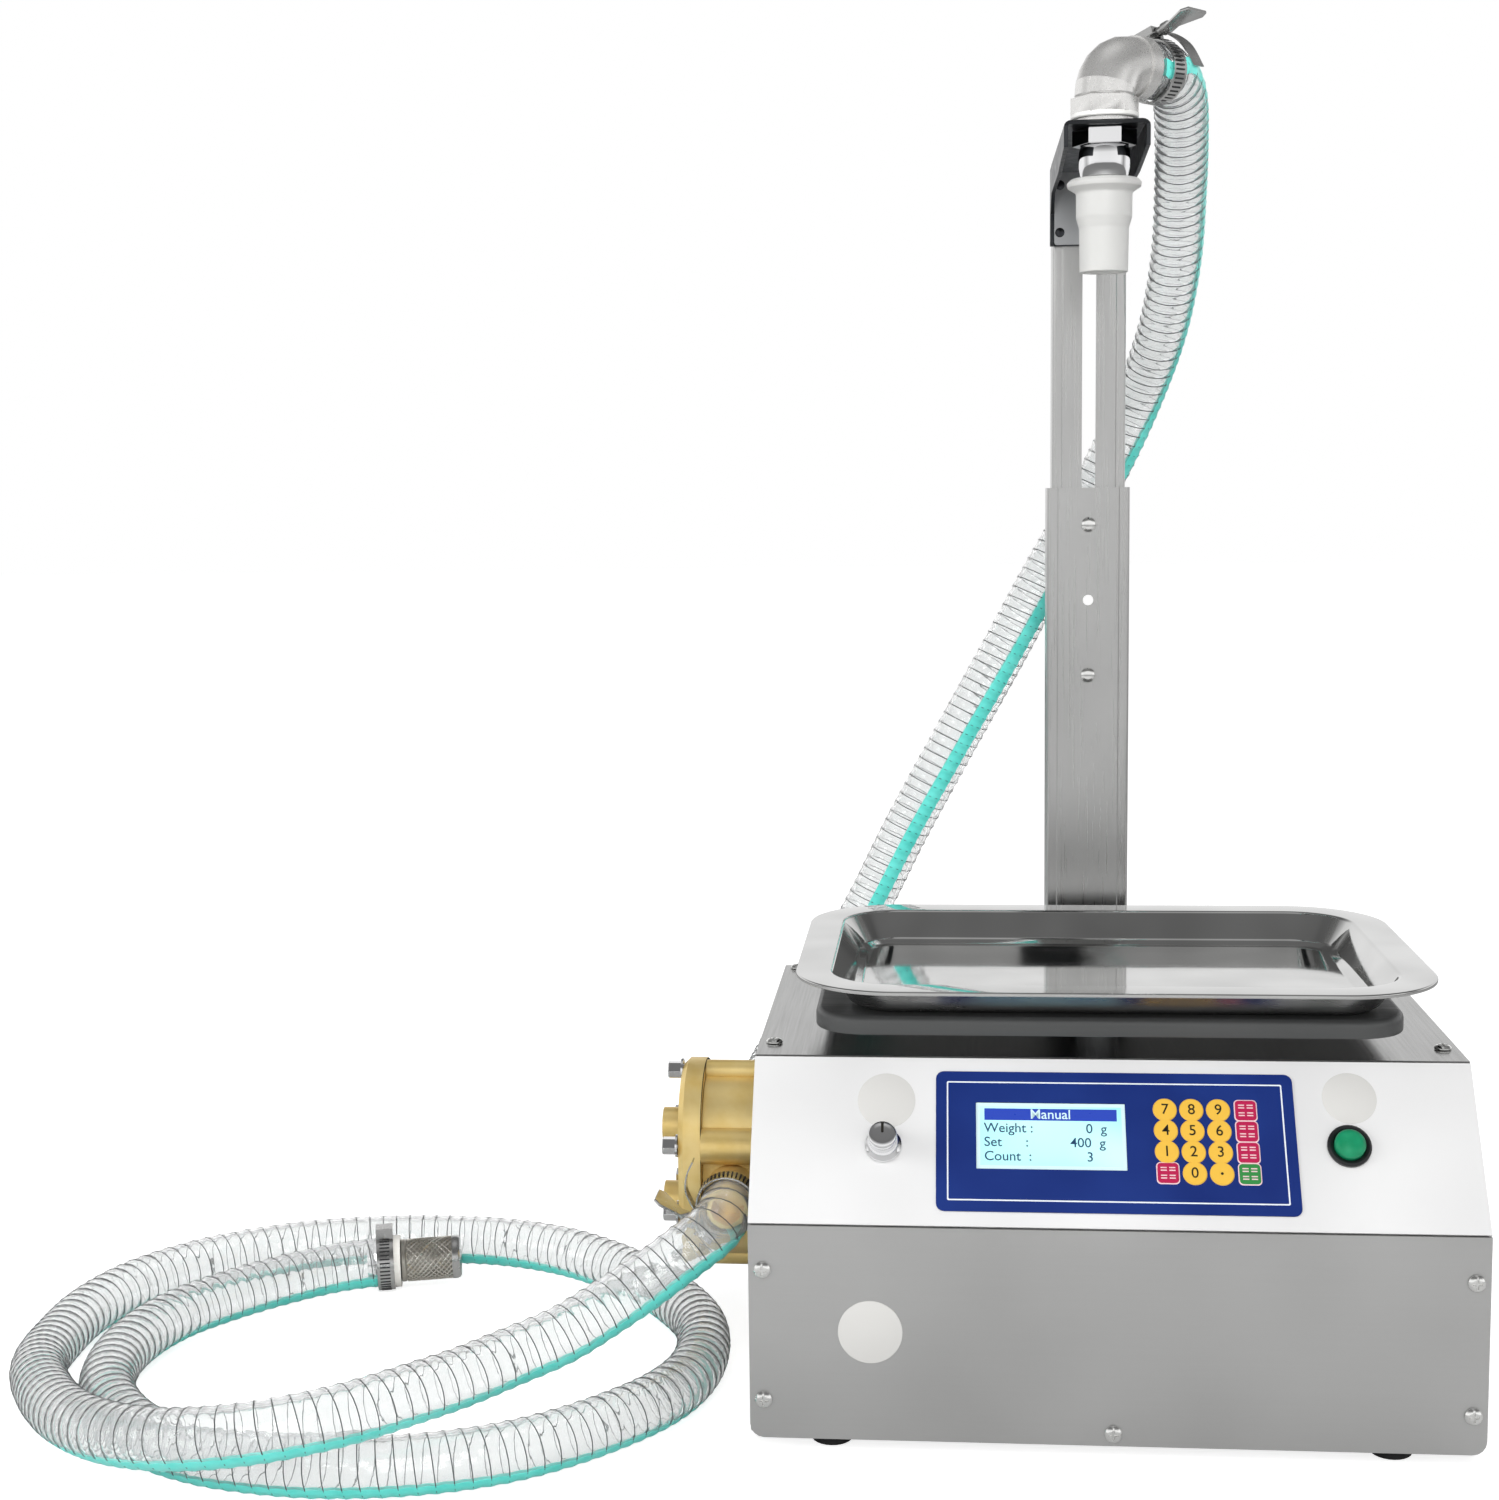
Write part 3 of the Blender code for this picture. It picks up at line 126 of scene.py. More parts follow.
# ---------------------------------------------------------------- Studio
# A seamless pale floor, three soft boxes, and a room for the steel to reflect: bright walls low
# down with grey gaps between their panels, a dark band above them and a paler ceiling.
def linear(code):
    """The linear colour of an sRGB hex code."""
    channels = [int(code[i:i + 2], 16) / 255.0 for i in (1, 3, 5)]
    return (*[c / 12.92 if c <= 0.04045 else ((c + 0.055) / 1.055) ** 2.4 for c in channels], 1.0)


def add_node(tree, kind, sockets=None, **settings):
    """A node with its settings, and each input set to a value or linked from an output."""
    node = tree.nodes.new(kind)
    for name, value in settings.items():
        setattr(node, name, value)
    for name, value in (sockets or {}).items():
        if isinstance(value, bpy.types.NodeSocket):
            tree.links.new(value, node.inputs[name])
        else:
            node.inputs[name].default_value = value
    return node


def set_stops(ramp, stops):
    """The stops of a colour ramp, as (position, grey or colour)."""
    while len(ramp.elements) < len(stops):
        ramp.elements.new(0.5)
    for element, (position, colour) in zip(ramp.elements, stops):
        element.position = position
        element.color = colour if hasattr(colour, "__len__") else (colour, colour, colour, 1.0)


world = bpy.data.worlds.new("studio")
bpy.context.scene.world = world
world.use_nodes = True
room = world.node_tree
room.nodes.clear()
direction = add_node(room, "ShaderNodeTexCoord").outputs["Generated"]
split = add_node(room, "ShaderNodeSeparateXYZ", {"Vector": direction})
room_height = add_node(room, "ShaderNodeMapRange", {"Value": split.outputs["Z"], "From Min": -1.0,
                                                    "From Max": 1.0})
walls = add_node(room, "ShaderNodeValToRGB", {"Fac": room_height.outputs["Result"]})
set_stops(walls.color_ramp, [(0.0, 0.8), (0.44, 0.85), (0.52, 1.0), (0.66, 0.95), (0.74, 0.4), (0.8, 0.16),
                             (0.95, 0.2), (1.0, 0.55)])
turn = add_node(room, "ShaderNodeTexGradient", {"Vector": direction}, gradient_type="RADIAL")
panels = add_node(room, "ShaderNodeValToRGB", {"Fac": turn.outputs["Fac"]})
set_stops(panels.color_ramp, [(0.0, 0.55), (0.05, 1.1), (0.2, 1.0), (0.3, 1.0), (0.45, 1.1), (0.5, 0.35),
                              (0.56, 1.1), (0.75, 1.0), (0.94, 1.1), (1.0, 0.55)])
below_ceiling = add_node(room, "ShaderNodeMapRange", {"Value": split.outputs["Z"], "From Min": 0.8,
                                                      "From Max": 0.5})
lit = add_node(room, "ShaderNodeMix", {0: below_ceiling.outputs["Result"], 6: walls.outputs["Color"],
                                       7: panels.outputs["Color"]}, data_type="RGBA", blend_type="MULTIPLY")


def seen_directly(tree):
    """A value of 1 where the eye meets the surface itself, in the open or through clear material."""
    path = add_node(tree, "ShaderNodeLightPath")
    either = add_node(tree, "ShaderNodeMath", {0: path.outputs["Is Camera Ray"],
                                               1: path.outputs["Is Transmission Ray"]}, operation="MAXIMUM")
    return either.outputs["Value"]


background = add_node(room, "ShaderNodeMix", {0: seen_directly(room), 6: lit.outputs["Result"],
                                              7: (1.0, 1.0, 1.0, 1.0)}, data_type="RGBA")
sky = add_node(room, "ShaderNodeBackground", {"Color": background.outputs["Result"]})
add_node(room, "ShaderNodeOutputWorld", {"Surface": sky.outputs["Background"]})

floor_material = bpy.data.materials.new("paper_floor")
floor_material.use_nodes = True
paper = floor_material.node_tree
paper.nodes.clear()
paper_light = add_node(paper, "ShaderNodeBsdfDiffuse", {"Color": (0.6, 0.6, 0.6, 1.0)})
paper_glow = add_node(paper, "ShaderNodeEmission", {"Color": (0.8, 0.8, 0.8, 1.0),
                                                    "Strength": seen_directly(paper)})
paper_sum = add_node(paper, "ShaderNodeAddShader", {0: paper_light.outputs["BSDF"],
                                                    1: paper_glow.outputs["Emission"]})
add_node(paper, "ShaderNodeOutputMaterial", {"Surface": paper_sum.outputs["Shader"]})
FLOOR_HALF = 12.0
FLOOR_Z = -0.0005
floor_corners = [(x * FLOOR_HALF, y * FLOOR_HALF, FLOOR_Z) for x, y in ((-1, -1), (1, -1), (1, 1), (-1, 1))]
floor_mesh = bpy.data.meshes.new("floor")
floor_mesh.from_pydata(floor_corners, [], [(0, 1, 2, 3)])
floor_mesh.materials.append(floor_material)
floor = bpy.data.objects.new("floor", floor_mesh)
bpy.context.scene.collection.objects.link(floor)
floor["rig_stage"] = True


def soft_box(name, at, target, size, watts):
    """A square area lamp of that size in metres, turned to its target and unseen itself."""
    data = bpy.data.lights.new(name, "AREA")
    data.size = size
    data.energy = watts
    lamp = bpy.data.objects.new(name, data)
    bpy.context.scene.collection.objects.link(lamp)
    turn_to = (Vector(target) - Vector(at)).to_track_quat("-Z", "Y")
    lamp.matrix_world = Matrix.Translation(at) @ turn_to.to_matrix().to_4x4()
    lamp.visible_camera = lamp.visible_glossy = False


soft_box("front", (0.0, -2.0, 1.55), (0.0, 0.0, 0.15), 1.2, 36.0)
soft_box("left_side", (-2.0, -1.0, 1.0), (0.0, 0.0, 0.3), 0.9, 14.0)
soft_box("overhead_back", (0.5, 1.1, 2.4), (0.0, 0.0, 0.3), 1.0, 14.0)


# ---------------------------------------------------------------- Clear spiral hoses
# Extruded flexible PVC, 30 mm outside, with a spring-steel wire wound in its wall and a turquoise
# stripe along it. The wall stands out a little over the wire. One hose sucks from the strainer on
# the floor, the other goes from the pump up behind the column to the elbow.
HOSE_RADIUS = 15.0 * MM
HOSE_WALL = 2.4 * MM
WALL_RADIUS = HOSE_RADIUS - 0.6 * MM
STRIPE_RADIUS = HOSE_RADIUS - 0.5 * MM
COIL_RADIUS = HOSE_RADIUS - 0.45 * MM
WIRE_PITCHES = {"inlet_hose": 8.3 * MM, "outlet_hose": 6.4 * MM}
WIRE_RADIUS = 0.29 * MM
STRIPE_WIDTH = 9.5 * MM
INLET_ROUTE = [
    (-197.6, 85.2, 103.0), (-197.7, 68.0, 102.8), (-203.0, 52.0, 97.5), (-217.0, 41.0, 88.5),
    (-235.0, 31.0, 77.0), (-252.0, 20.0, 68.0), (-275.0, 1.0, 58.5), (-298.0, -15.0, 53.0),
    (-319.0, -36.0, 50.5), (-340.0, -57.0, 50.0), (-360.0, -74.0, 49.0), (-381.0, -87.0, 48.0),
    (-403.0, -94.0, 46.0), (-428.0, -95.0, 43.0), (-455.0, -88.0, 39.0), (-487.0, -70.0, 34.0),
    (-520.0, -37.0, 28.0), (-550.0, 8.0, 22.0), (-567.0, 45.0, 18.0), (-574.0, 85.0, 15.5),
    (-574.0, 128.0, 15.5), (-563.0, 170.0, 15.5), (-543.0, 201.0, 15.5), (-516.0, 226.0, 15.5),
    (-480.0, 246.0, 15.5), (-434.0, 258.0, 15.5), (-392.0, 261.0, 15.5), (-353.0, 257.0, 15.5),
    (-318.0, 244.0, 15.5), (-290.0, 225.0, 15.5), (-262.0, 198.0, 15.5), (-238.0, 165.0, 15.5),
    (-220.0, 129.0, 15.5), (-214.0, 92.0, 15.5), (-217.0, 57.0, 15.5), (-229.0, 26.0, 15.5),
    (-249.0, -1.0, 15.5), (-272.0, -24.0, 15.5), (-294.0, -40.0, 15.5), (-317.0, -51.0, 15.5),
    (-340.0, -58.0, 15.5), (-364.0, -62.0, 15.5), (-389.0, -63.0, 15.5), (-415.0, -60.0, 15.5),
    (-443.0, -53.0, 15.5), (-473.0, -38.0, 15.5), (-500.0, -12.0, 15.5), (-520.0, 20.0, 15.5),
    (-530.0, 58.0, 15.5), (-529.0, 96.0, 15.5), (-519.0, 129.0, 15.5), (-500.0, 158.0, 15.5),
    (-478.0, 183.0, 15.5), (-453.0, 203.5, 15.8), (-431.0, 213.0, 16.6), (-413.0, 217.2, 17.0),
]
OUTLET_ROUTE = [
    (-197.6, 174.8, 103.0), (-197.6, 192.0, 103.0), (-197.6, 225.0, 104.0), (-197.0, 262.0, 108.0),
    (-191.0, 300.0, 120.0), (-173.0, 324.0, 147.0), (-152.0, 330.0, 179.0), (-130.0, 330.0, 219.5),
    (-108.0, 329.0, 264.0), (-80.0, 328.0, 316.0), (-49.0, 328.0, 372.0), (-22.0, 329.0, 422.0),
    (16.0, 329.0, 489.0), (34.5, 318.0, 531.0), (46.5, 290.0, 571.0), (51.0, 262.0, 608.0),
    (50.5, 235.0, 643.0), (48.0, 207.0, 669.0), (44.5, 186.0, 687.5), (36.9, 169.8, 696.0),
    (24.1, 157.0, 696.0),
]


def new_material(name, **inputs):
    """A material with one Principled shader, whose inputs are given with _ for a space."""
    material = bpy.data.materials.new(name)
    material.use_nodes = True
    shader = material.node_tree.nodes["Principled BSDF"]
    for socket, value in inputs.items():
        shader.inputs[socket.replace("_", " ")].default_value = value
    return material, material.node_tree, shader


def in_mm(tree, x, y, z):
    """Object coordinates scaled so that a texture of scale 1 has features of that many millimetres."""
    coordinates = add_node(tree, "ShaderNodeTexCoord").outputs["Object"]
    scale = (1.0 / (x * MM), 1.0 / (y * MM), 1.0 / (z * MM))
    return add_node(tree, "ShaderNodeMapping", {"Vector": coordinates, "Scale": scale}).outputs["Vector"]


def add_relief(tree, shader, height, depth_mm, strength=1.0):
    """Lets a pattern stand out of the surface by a depth."""
    bump = add_node(tree, "ShaderNodeBump", {"Height": height, "Distance": depth_mm * MM,
                                             "Strength": strength})
    tree.links.new(bump.outputs["Normal"], shader.inputs["Normal"])


def surfaced(name, grain_mm=None, detail=2.0, depth_mm=None, strength=1.0, roughness=None, clouds=None,
             **inputs):
    """A material with a grain of that size, which may stand out by a depth and run between two
    roughnesses, and clouds of colour given as (size in millimetres, detail, stops of a hex colour)."""
    material, tree, shader = new_material(name, **inputs)
    if grain_mm:
        grain = add_node(tree, "ShaderNodeTexNoise", {"Vector": in_mm(tree, grain_mm, grain_mm, grain_mm),
                                                      "Scale": 1.0, "Detail": detail}).outputs["Fac"]
    if roughness:
        rough = add_node(tree, "ShaderNodeMapRange", {"Value": grain, "To Min": roughness[0],
                                                      "To Max": roughness[1]})
        tree.links.new(rough.outputs["Result"], shader.inputs["Roughness"])
    if depth_mm:
        add_relief(tree, shader, grain, depth_mm, strength)
    if clouds:
        size, cloud_detail, *stops = clouds
        cloud = add_node(tree, "ShaderNodeTexNoise", {"Vector": in_mm(tree, size, size, size), "Scale": 1.0,
                                                      "Detail": cloud_detail})
        tone = add_node(tree, "ShaderNodeValToRGB", {"Fac": cloud.outputs["Fac"]})
        set_stops(tone.color_ramp, [(position, linear(code)) for position, code in stops])
        tree.links.new(tone.outputs["Color"], shader.inputs["Base Color"])
    return material


# flexible PVC: glossy and clear, a little milky, with faint waves from the extruder
clear_pvc = surfaced("clear_pvc", 9.0, depth_mm=0.5, strength=0.5, Base_Color=linear("#F9FAFA"), IOR=1.3,
                     Roughness=0.03, Transmission_Weight=0.86, Coat_Weight=0.4, Coat_Roughness=0.08)

# pigmented PVC stripe, extruded into the wall: opaque and bright, a little cloudy
turquoise_pvc = surfaced("turquoise_pvc", clouds=(14.0, 2.0, (0.3, "#62ECDF"), (0.7, "#7AF8EC")),
                         Roughness=0.3, IOR=1.5)

# hard-drawn spring-steel wire, dark from drawing
spring_wire = surfaced("spring_wire", 5.0, roughness=(0.3, 0.5), Base_Color=linear("#6A6D6E"), Metallic=1.0)


def geometry_tree(name, inputs):
    """A new Geometry Nodes tree with named inputs, given as (name, socket kind, default)."""
    tree = bpy.data.node_groups.new(name, "GeometryNodeTree")
    tree.interface.new_socket("Geometry", in_out="INPUT", socket_type="NodeSocketGeometry")
    for label, kind, default in inputs:
        socket = tree.interface.new_socket(label, in_out="INPUT", socket_type="NodeSocket" + kind)
        if default is not None:
            socket.default_value = default
    tree.interface.new_socket("Geometry", in_out="OUTPUT", socket_type="NodeSocketGeometry")
    return tree, add_node(tree, "NodeGroupInput").outputs


def close_tree(tree, geometry, material):
    """Ends a tree: real geometry, its material, and the output."""
    real = add_node(tree, "GeometryNodeRealizeInstances", {"Geometry": geometry})
    painted = add_node(tree, "GeometryNodeSetMaterial", {"Geometry": real.outputs["Geometry"],
                                                         "Material": material})
    add_node(tree, "NodeGroupOutput", {"Geometry": painted.outputs["Geometry"]})


def applied(name, data, kind=None, inputs=None, **settings):
    """The plain mesh of a curve, text or mesh, with a modifier of that kind applied if given."""
    seed = bpy.data.objects.new(name + "_seed", data)
    bpy.context.scene.collection.objects.link(seed)
    if kind:
        modifier = seed.modifiers.new(kind.lower(), kind)
        for setting, value in settings.items():
            setattr(modifier, setting, value)
        for identifier, value in (inputs or {}).items():
            modifier[identifier] = value
    bpy.context.view_layer.update()
    mesh = bpy.data.meshes.new_from_object(seed.evaluated_get(bpy.context.evaluated_depsgraph_get()))
    mesh.name = name
    bpy.data.objects.remove(seed)
    return mesh


def grow(name, data, tree, values):
    """The plain mesh that a Geometry Nodes tree makes of a curve or mesh."""
    inputs = {item.identifier: values[item.name] for item in tree.interface.items_tree
              if item.in_out == "INPUT" and item.name in values}
    return applied(name, data, "NODES", inputs, node_group=tree)


def add_piece(mesh, body, smooth_angle=35.0):
    """An object at the origin for a finished mesh, riding on its body if given, and shaded smooth up
    to that angle if given."""
    if smooth_angle:
        mesh.shade_smooth()
        mesh.set_sharp_from_angle(angle=math.radians(smooth_angle))
    piece = bpy.data.objects.new(mesh.name, mesh)
    bpy.context.scene.collection.objects.link(piece)
    if body:
        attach(piece, body)
    return piece


def route_curve(name, route):
    """The hose's centreline as a Bezier curve through the route's points."""
    points = [place(*point) for point in route]
    data = bpy.data.curves.new(name, "CURVE")
    data.dimensions = "3D"
    data.resolution_u = 12
    spline = data.splines.new("BEZIER")
    spline.bezier_points.add(len(points) - 1)
    for i, knot in enumerate(spline.bezier_points):
        before, here, after = points[max(i - 1, 0)], points[i], points[min(i + 1, len(points) - 1)]
        along = (after - before).normalized()
        knot.handle_left_type = knot.handle_right_type = "FREE"
        knot.co = here
        knot.handle_left = here - along * (here - before).length / 3.0
        knot.handle_right = here + along * (after - here).length / 3.0
    return data


def centreline(data):
    """The points along a route's Bezier curve."""
    knots = data.splines[0].bezier_points
    points = []
    for a, b in zip(knots, knots[1:]):
        points += interpolate_bezier(a.co, a.handle_right, b.handle_left, b.co, 9)[:-1]
    return [*points, knots[-1].co.copy()]


def hose_frame(tree, given, factor):
    """Nodes for the hose's centre at a factor along it, and the two directions across it there."""
    centre = add_node(tree, "GeometryNodeSampleCurve", {"Curves": given["Geometry"], "Factor": factor},
                      mode="FACTOR", data_type="FLOAT")
    side = add_node(tree, "ShaderNodeMix", {0: factor, 4: given["Side at start"], 5: given["Side at end"]},
                    data_type="VECTOR")
    tangent = centre.outputs["Tangent"]
    reach = add_node(tree, "ShaderNodeVectorMath", {0: side.outputs[1], 1: tangent}, operation="DOT_PRODUCT")
    along = add_node(tree, "ShaderNodeVectorMath", {0: tangent, "Scale": reach.outputs["Value"]},
                     operation="SCALE")
    across = add_node(tree, "ShaderNodeVectorMath", {0: side.outputs[1], 1: along.outputs["Vector"]},
                      operation="SUBTRACT")
    out = add_node(tree, "ShaderNodeVectorMath", {0: across.outputs["Vector"]}, operation="NORMALIZE")
    beside = add_node(tree, "ShaderNodeVectorMath", {0: tangent, 1: out.outputs["Vector"]},
                      operation="CROSS_PRODUCT")
    length = add_node(tree, "GeometryNodeCurveLength", {"Curve": given["Geometry"]})
    turns = add_node(tree, "ShaderNodeMath", {0: length.outputs["Length"], 1: given["Pitch"]},
                     operation="DIVIDE").outputs["Value"]
    wound = add_node(tree, "ShaderNodeMath", {0: turns, 1: factor}, operation="MULTIPLY")
    angle = add_node(tree, "ShaderNodeMath", {0: wound.outputs["Value"], 1: 2.0 * math.pi},
                     operation="MULTIPLY").outputs["Value"]
    return centre.outputs["Position"], out.outputs["Vector"], beside.outputs["Vector"], angle, turns


def move_round(tree, geometry, centre, out, beside, angle, radius):
    """Sets each point's place to that angle and radius round the hose's centre."""
    place_at = centre
    for operation, direction_socket in (("COSINE", out), ("SINE", beside)):
        part = add_node(tree, "ShaderNodeMath", {0: angle}, operation=operation)
        share = add_node(tree, "ShaderNodeMath", {0: part.outputs["Value"], 1: radius}, operation="MULTIPLY")
        arm = add_node(tree, "ShaderNodeVectorMath", {0: direction_socket, "Scale": share.outputs["Value"]},
                       operation="SCALE")
        place_at = add_node(tree, "ShaderNodeVectorMath", {0: place_at, 1: arm.outputs["Vector"]},
                            operation="ADD").outputs["Vector"]
    moved = add_node(tree, "GeometryNodeSetPosition", {"Geometry": geometry, "Position": place_at})
    return moved.outputs["Geometry"]


# the wire: a helix of the wire's pitch, just inside the wall's outer face
HOSE_INPUTS = [("Radius", "Float", HOSE_RADIUS), ("Pitch", "Float", 7.0 * MM),
               ("Side at start", "Vector", (0.0, 0.0, -1.0)), ("Side at end", "Vector", (0.0, 0.0, -1.0))]
wire_tree, given = geometry_tree("hose_wire", HOSE_INPUTS + [("Wire radius", "Float", WIRE_RADIUS),
                                                            ("Steps per turn", "Int", 20)])
factor = add_node(wire_tree, "GeometryNodeSplineParameter").outputs["Factor"]
centre, out, beside, angle, turns = hose_frame(wire_tree, given, factor)
step_count = add_node(wire_tree, "ShaderNodeMath", {0: turns, 1: given["Steps per turn"]},
                      operation="MULTIPLY")
straight = add_node(wire_tree, "GeometryNodeCurvePrimitiveLine")
fine = add_node(wire_tree, "GeometryNodeResampleCurve", {"Curve": straight.outputs["Curve"],
                                                         "Count": step_count.outputs["Value"]})
helix = move_round(wire_tree, fine.outputs["Curve"], centre, out, beside, angle, given["Radius"])
section = add_node(wire_tree, "GeometryNodeCurvePrimitiveCircle", {"Resolution": 5,
                                                                   "Radius": given["Wire radius"]})
wire = add_node(wire_tree, "GeometryNodeCurveToMesh", {"Curve": helix, "Fill Caps": True,
                                                       "Profile Curve": section.outputs["Curve"]})
close_tree(wire_tree, wire.outputs["Mesh"], spring_wire)

# the wall: a grid rolled round the centreline, standing out over the wire, and the same for the stripe
wall_tree, given = geometry_tree("hose_wall", HOSE_INPUTS + [
    ("Rib", "Float", 0.25 * MM), ("Arc", "Float", 2.0 * math.pi), ("Rows per turn", "Int", 5),
    ("Columns", "Int", 20), ("Material", "Material", None)])
spot_at = add_node(wall_tree, "GeometryNodeInputPosition").outputs["Position"]
spot = add_node(wall_tree, "ShaderNodeSeparateXYZ", {"Vector": spot_at})
factor = add_node(wall_tree, "ShaderNodeMath", {0: spot.outputs["X"], 1: 0.5}, operation="ADD",
                  use_clamp=True).outputs["Value"]
centre, out, beside, angle, turns = hose_frame(wall_tree, given, factor)
row_count = add_node(wall_tree, "ShaderNodeMath", {0: turns, 1: given["Rows per turn"]}, operation="MULTIPLY")
column_count = add_node(wall_tree, "ShaderNodeMath", {0: given["Columns"], 1: 1.0}, operation="ADD")
grid = add_node(wall_tree, "GeometryNodeMeshGrid", {"Size X": 1.0, "Size Y": 1.0,
                                                    "Vertices X": row_count.outputs["Value"],
                                                    "Vertices Y": column_count.outputs["Value"]})
round_it = add_node(wall_tree, "ShaderNodeMath", {0: spot.outputs["Y"], 1: given["Arc"]},
                    operation="MULTIPLY").outputs["Value"]
phase = add_node(wall_tree, "ShaderNodeMath", {0: angle, 1: round_it}, operation="SUBTRACT")
wave = add_node(wall_tree, "ShaderNodeMath", {0: phase.outputs["Value"]}, operation="COSINE")
stand = add_node(wall_tree, "ShaderNodeMath", {0: wave.outputs["Value"], 1: given["Rib"], 2: given["Radius"]},
                 operation="MULTIPLY_ADD")
rolled = move_round(wall_tree, grid.outputs["Mesh"], centre, out, beside, round_it, stand.outputs["Value"])
welded = add_node(wall_tree, "GeometryNodeMergeByDistance", {"Geometry": rolled, "Distance": 0.02 * MM})
facing_out = add_node(wall_tree, "GeometryNodeFlipFaces", {"Mesh": welded.outputs["Geometry"]})
close_tree(wall_tree, facing_out.outputs["Mesh"], given["Material"])


def thicken(mesh, thickness):
    """Gives an open shell a wall inwards, with closed edges; a second material goes on its inner side."""
    return applied(mesh.name, mesh, "SOLIDIFY", thickness=thickness, offset=-1.0, material_offset=1)


def build_hose(name, route, side_at_start, side_at_end, body):
    """One hose's wall, stripe and wire as pieces, and the line that they follow."""
    data = route_curve(name + "_route", route)
    shape = {"Side at start": side_at_start, "Side at end": side_at_end, "Pitch": WIRE_PITCHES[name]}
    wall_mesh = grow(name + "_wall", data, wall_tree, {**shape, "Radius": WALL_RADIUS, "Material": clear_pvc})
    stripe_mesh = grow(name + "_stripe", data, wall_tree, {
        **shape, "Radius": STRIPE_RADIUS, "Arc": STRIPE_WIDTH / HOSE_RADIUS, "Columns": 4,
        "Material": turquoise_pvc})
    wire_mesh = grow(name + "_wire", data, wire_tree, {**shape, "Radius": COIL_RADIUS})
    meshes = (thicken(wall_mesh, HOSE_WALL), thicken(stripe_mesh, HOSE_WALL), wire_mesh)
    return (*[add_piece(mesh, body) for mesh in meshes], centreline(data))


inlet_wall, inlet_stripe, inlet_wire, inlet_line = build_hose(
    "inlet_hose", INLET_ROUTE, (0.1, -0.75, -0.65), (0.1, -0.75, -0.65), "base")
outlet_wall, outlet_stripe, outlet_wire, outlet_line = build_hose(
    "outlet_hose", OUTLET_ROUTE, (0.0, -2.0, -0.3), (1.0, 0.25, 0.0), None)
for piece in (outlet_wall, outlet_stripe, outlet_wire):
    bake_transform(piece)
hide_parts("inlet_hose")
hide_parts("outlet_hose")


# ---------------------------------------------------------------- Cabinet sheets and feet
# Folded 1.5 mm stainless sheet, brushed along its length at the mill, with the fascia's finer
# satin grain. The edges are broken a little, so they catch the light. Moulded rubber feet below.
DOUBLES_MM = 0.01
FLAT_ENOUGH = math.radians(0.8)
EDGE_FROM = math.radians(40.0)


def steel(name, colour, roughness, grain, depth_mm=0.004, spread=0.08, metallic=1.0):
    """Steel with a grain: lines of the given size in millimetres along X, Y and Z, and faint clouding."""
    material, tree, shader = new_material(name, Metallic=metallic)
    lines = add_node(tree, "ShaderNodeTexNoise", {"Vector": in_mm(tree, *grain), "Scale": 1.0, "Detail": 3.0,
                                                  "Roughness": 0.6})
    rough = add_node(tree, "ShaderNodeMapRange", {
        "Value": lines.outputs["Fac"], "From Min": 0.3, "From Max": 0.7, "To Min": roughness - spread,
        "To Max": roughness + spread})
    tree.links.new(rough.outputs["Result"], shader.inputs["Roughness"])
    clouds = add_node(tree, "ShaderNodeTexNoise", {"Vector": in_mm(tree, 90.0, 90.0, 90.0), "Scale": 1.0,
                                                   "Detail": 1.0})
    tone = add_node(tree, "ShaderNodeMapRange", {"Value": clouds.outputs["Fac"], "From Min": 0.3,
                                                 "From Max": 0.7, "To Min": 0.93, "To Max": 1.05})
    base = add_node(tree, "ShaderNodeMix", {0: 1.0, 6: linear(colour), 7: tone.outputs["Result"]},
                    data_type="RGBA", blend_type="MULTIPLY")
    tree.links.new(base.outputs[2], shader.inputs["Base Color"])
    add_relief(tree, shader, lines.outputs["Fac"], depth_mm)
    return material


def soften(node, material, edge_mm=0.4, smooth_angle=35.0):
    """A copy of a CAD node with its doubles merged and its edges broken, standing for that node."""
    source = frame["nodes"][node]
    bm = bmesh.new()
    bm.from_mesh(source.data)
    bmesh.ops.remove_doubles(bm, verts=bm.verts, dist=DOUBLES_MM * MM)
    bmesh.ops.dissolve_limit(bm, angle_limit=FLAT_ENOUGH, verts=bm.verts, edges=bm.edges)
    mesh = bpy.data.meshes.new(node + "_finished")
    bm.to_mesh(mesh)
    bm.free()
    mesh.materials.append(material)
    mesh.shade_smooth()
    mesh.set_sharp_from_angle(angle=math.radians(smooth_angle))
    if edge_mm:
        mesh = applied(node + "_finished", mesh, "BEVEL", width=edge_mm * MM, segments=2,
                       limit_method="ANGLE", angle_limit=EDGE_FROM, harden_normals=True)
    piece = add_piece(mesh, source["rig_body"], None)
    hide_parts(node)


# sheet brushed at the mill: mid grey, with a fine level grain on the front
front_steel = steel("brushed_stainless", "#C4C4C3", 0.42, (60.0, 60.0, 1.2), spread=0.04, metallic=0.85)
for node in ("base_pan", "front_panel", "side_panel_left", "side_panel_right", "rear_panel"):
    soften(node, front_steel, 0.5)

# ground to a fine satin: almost white, with no mirror left in it
fascia_steel = steel("satin_stainless_fascia", "#F0F0F0", 0.5, (50.0, 1.2, 1.2), spread=0.03, metallic=0.25)
soften("sloped_fascia", fascia_steel, 0.5)

# cold-rolled sheet left bright on top: darker and glossier, so it mirrors the tray
top_steel = steel("rolled_stainless_top", "#A2A2A1", 0.2, (1.2, 70.0, 70.0), spread=0.05)
soften("top_plate", top_steel, 0.5)

# moulded natural rubber: dull black with a fine spark-eroded grain
foot_rubber = surfaced("moulded_rubber", 0.9, depth_mm=0.08, Base_Color=linear("#1C1C1D"), Roughness=0.75,
                       IOR=1.5)
for number in range(1, 5):
    soften(f"foot_{number}", foot_rubber, 0.6)

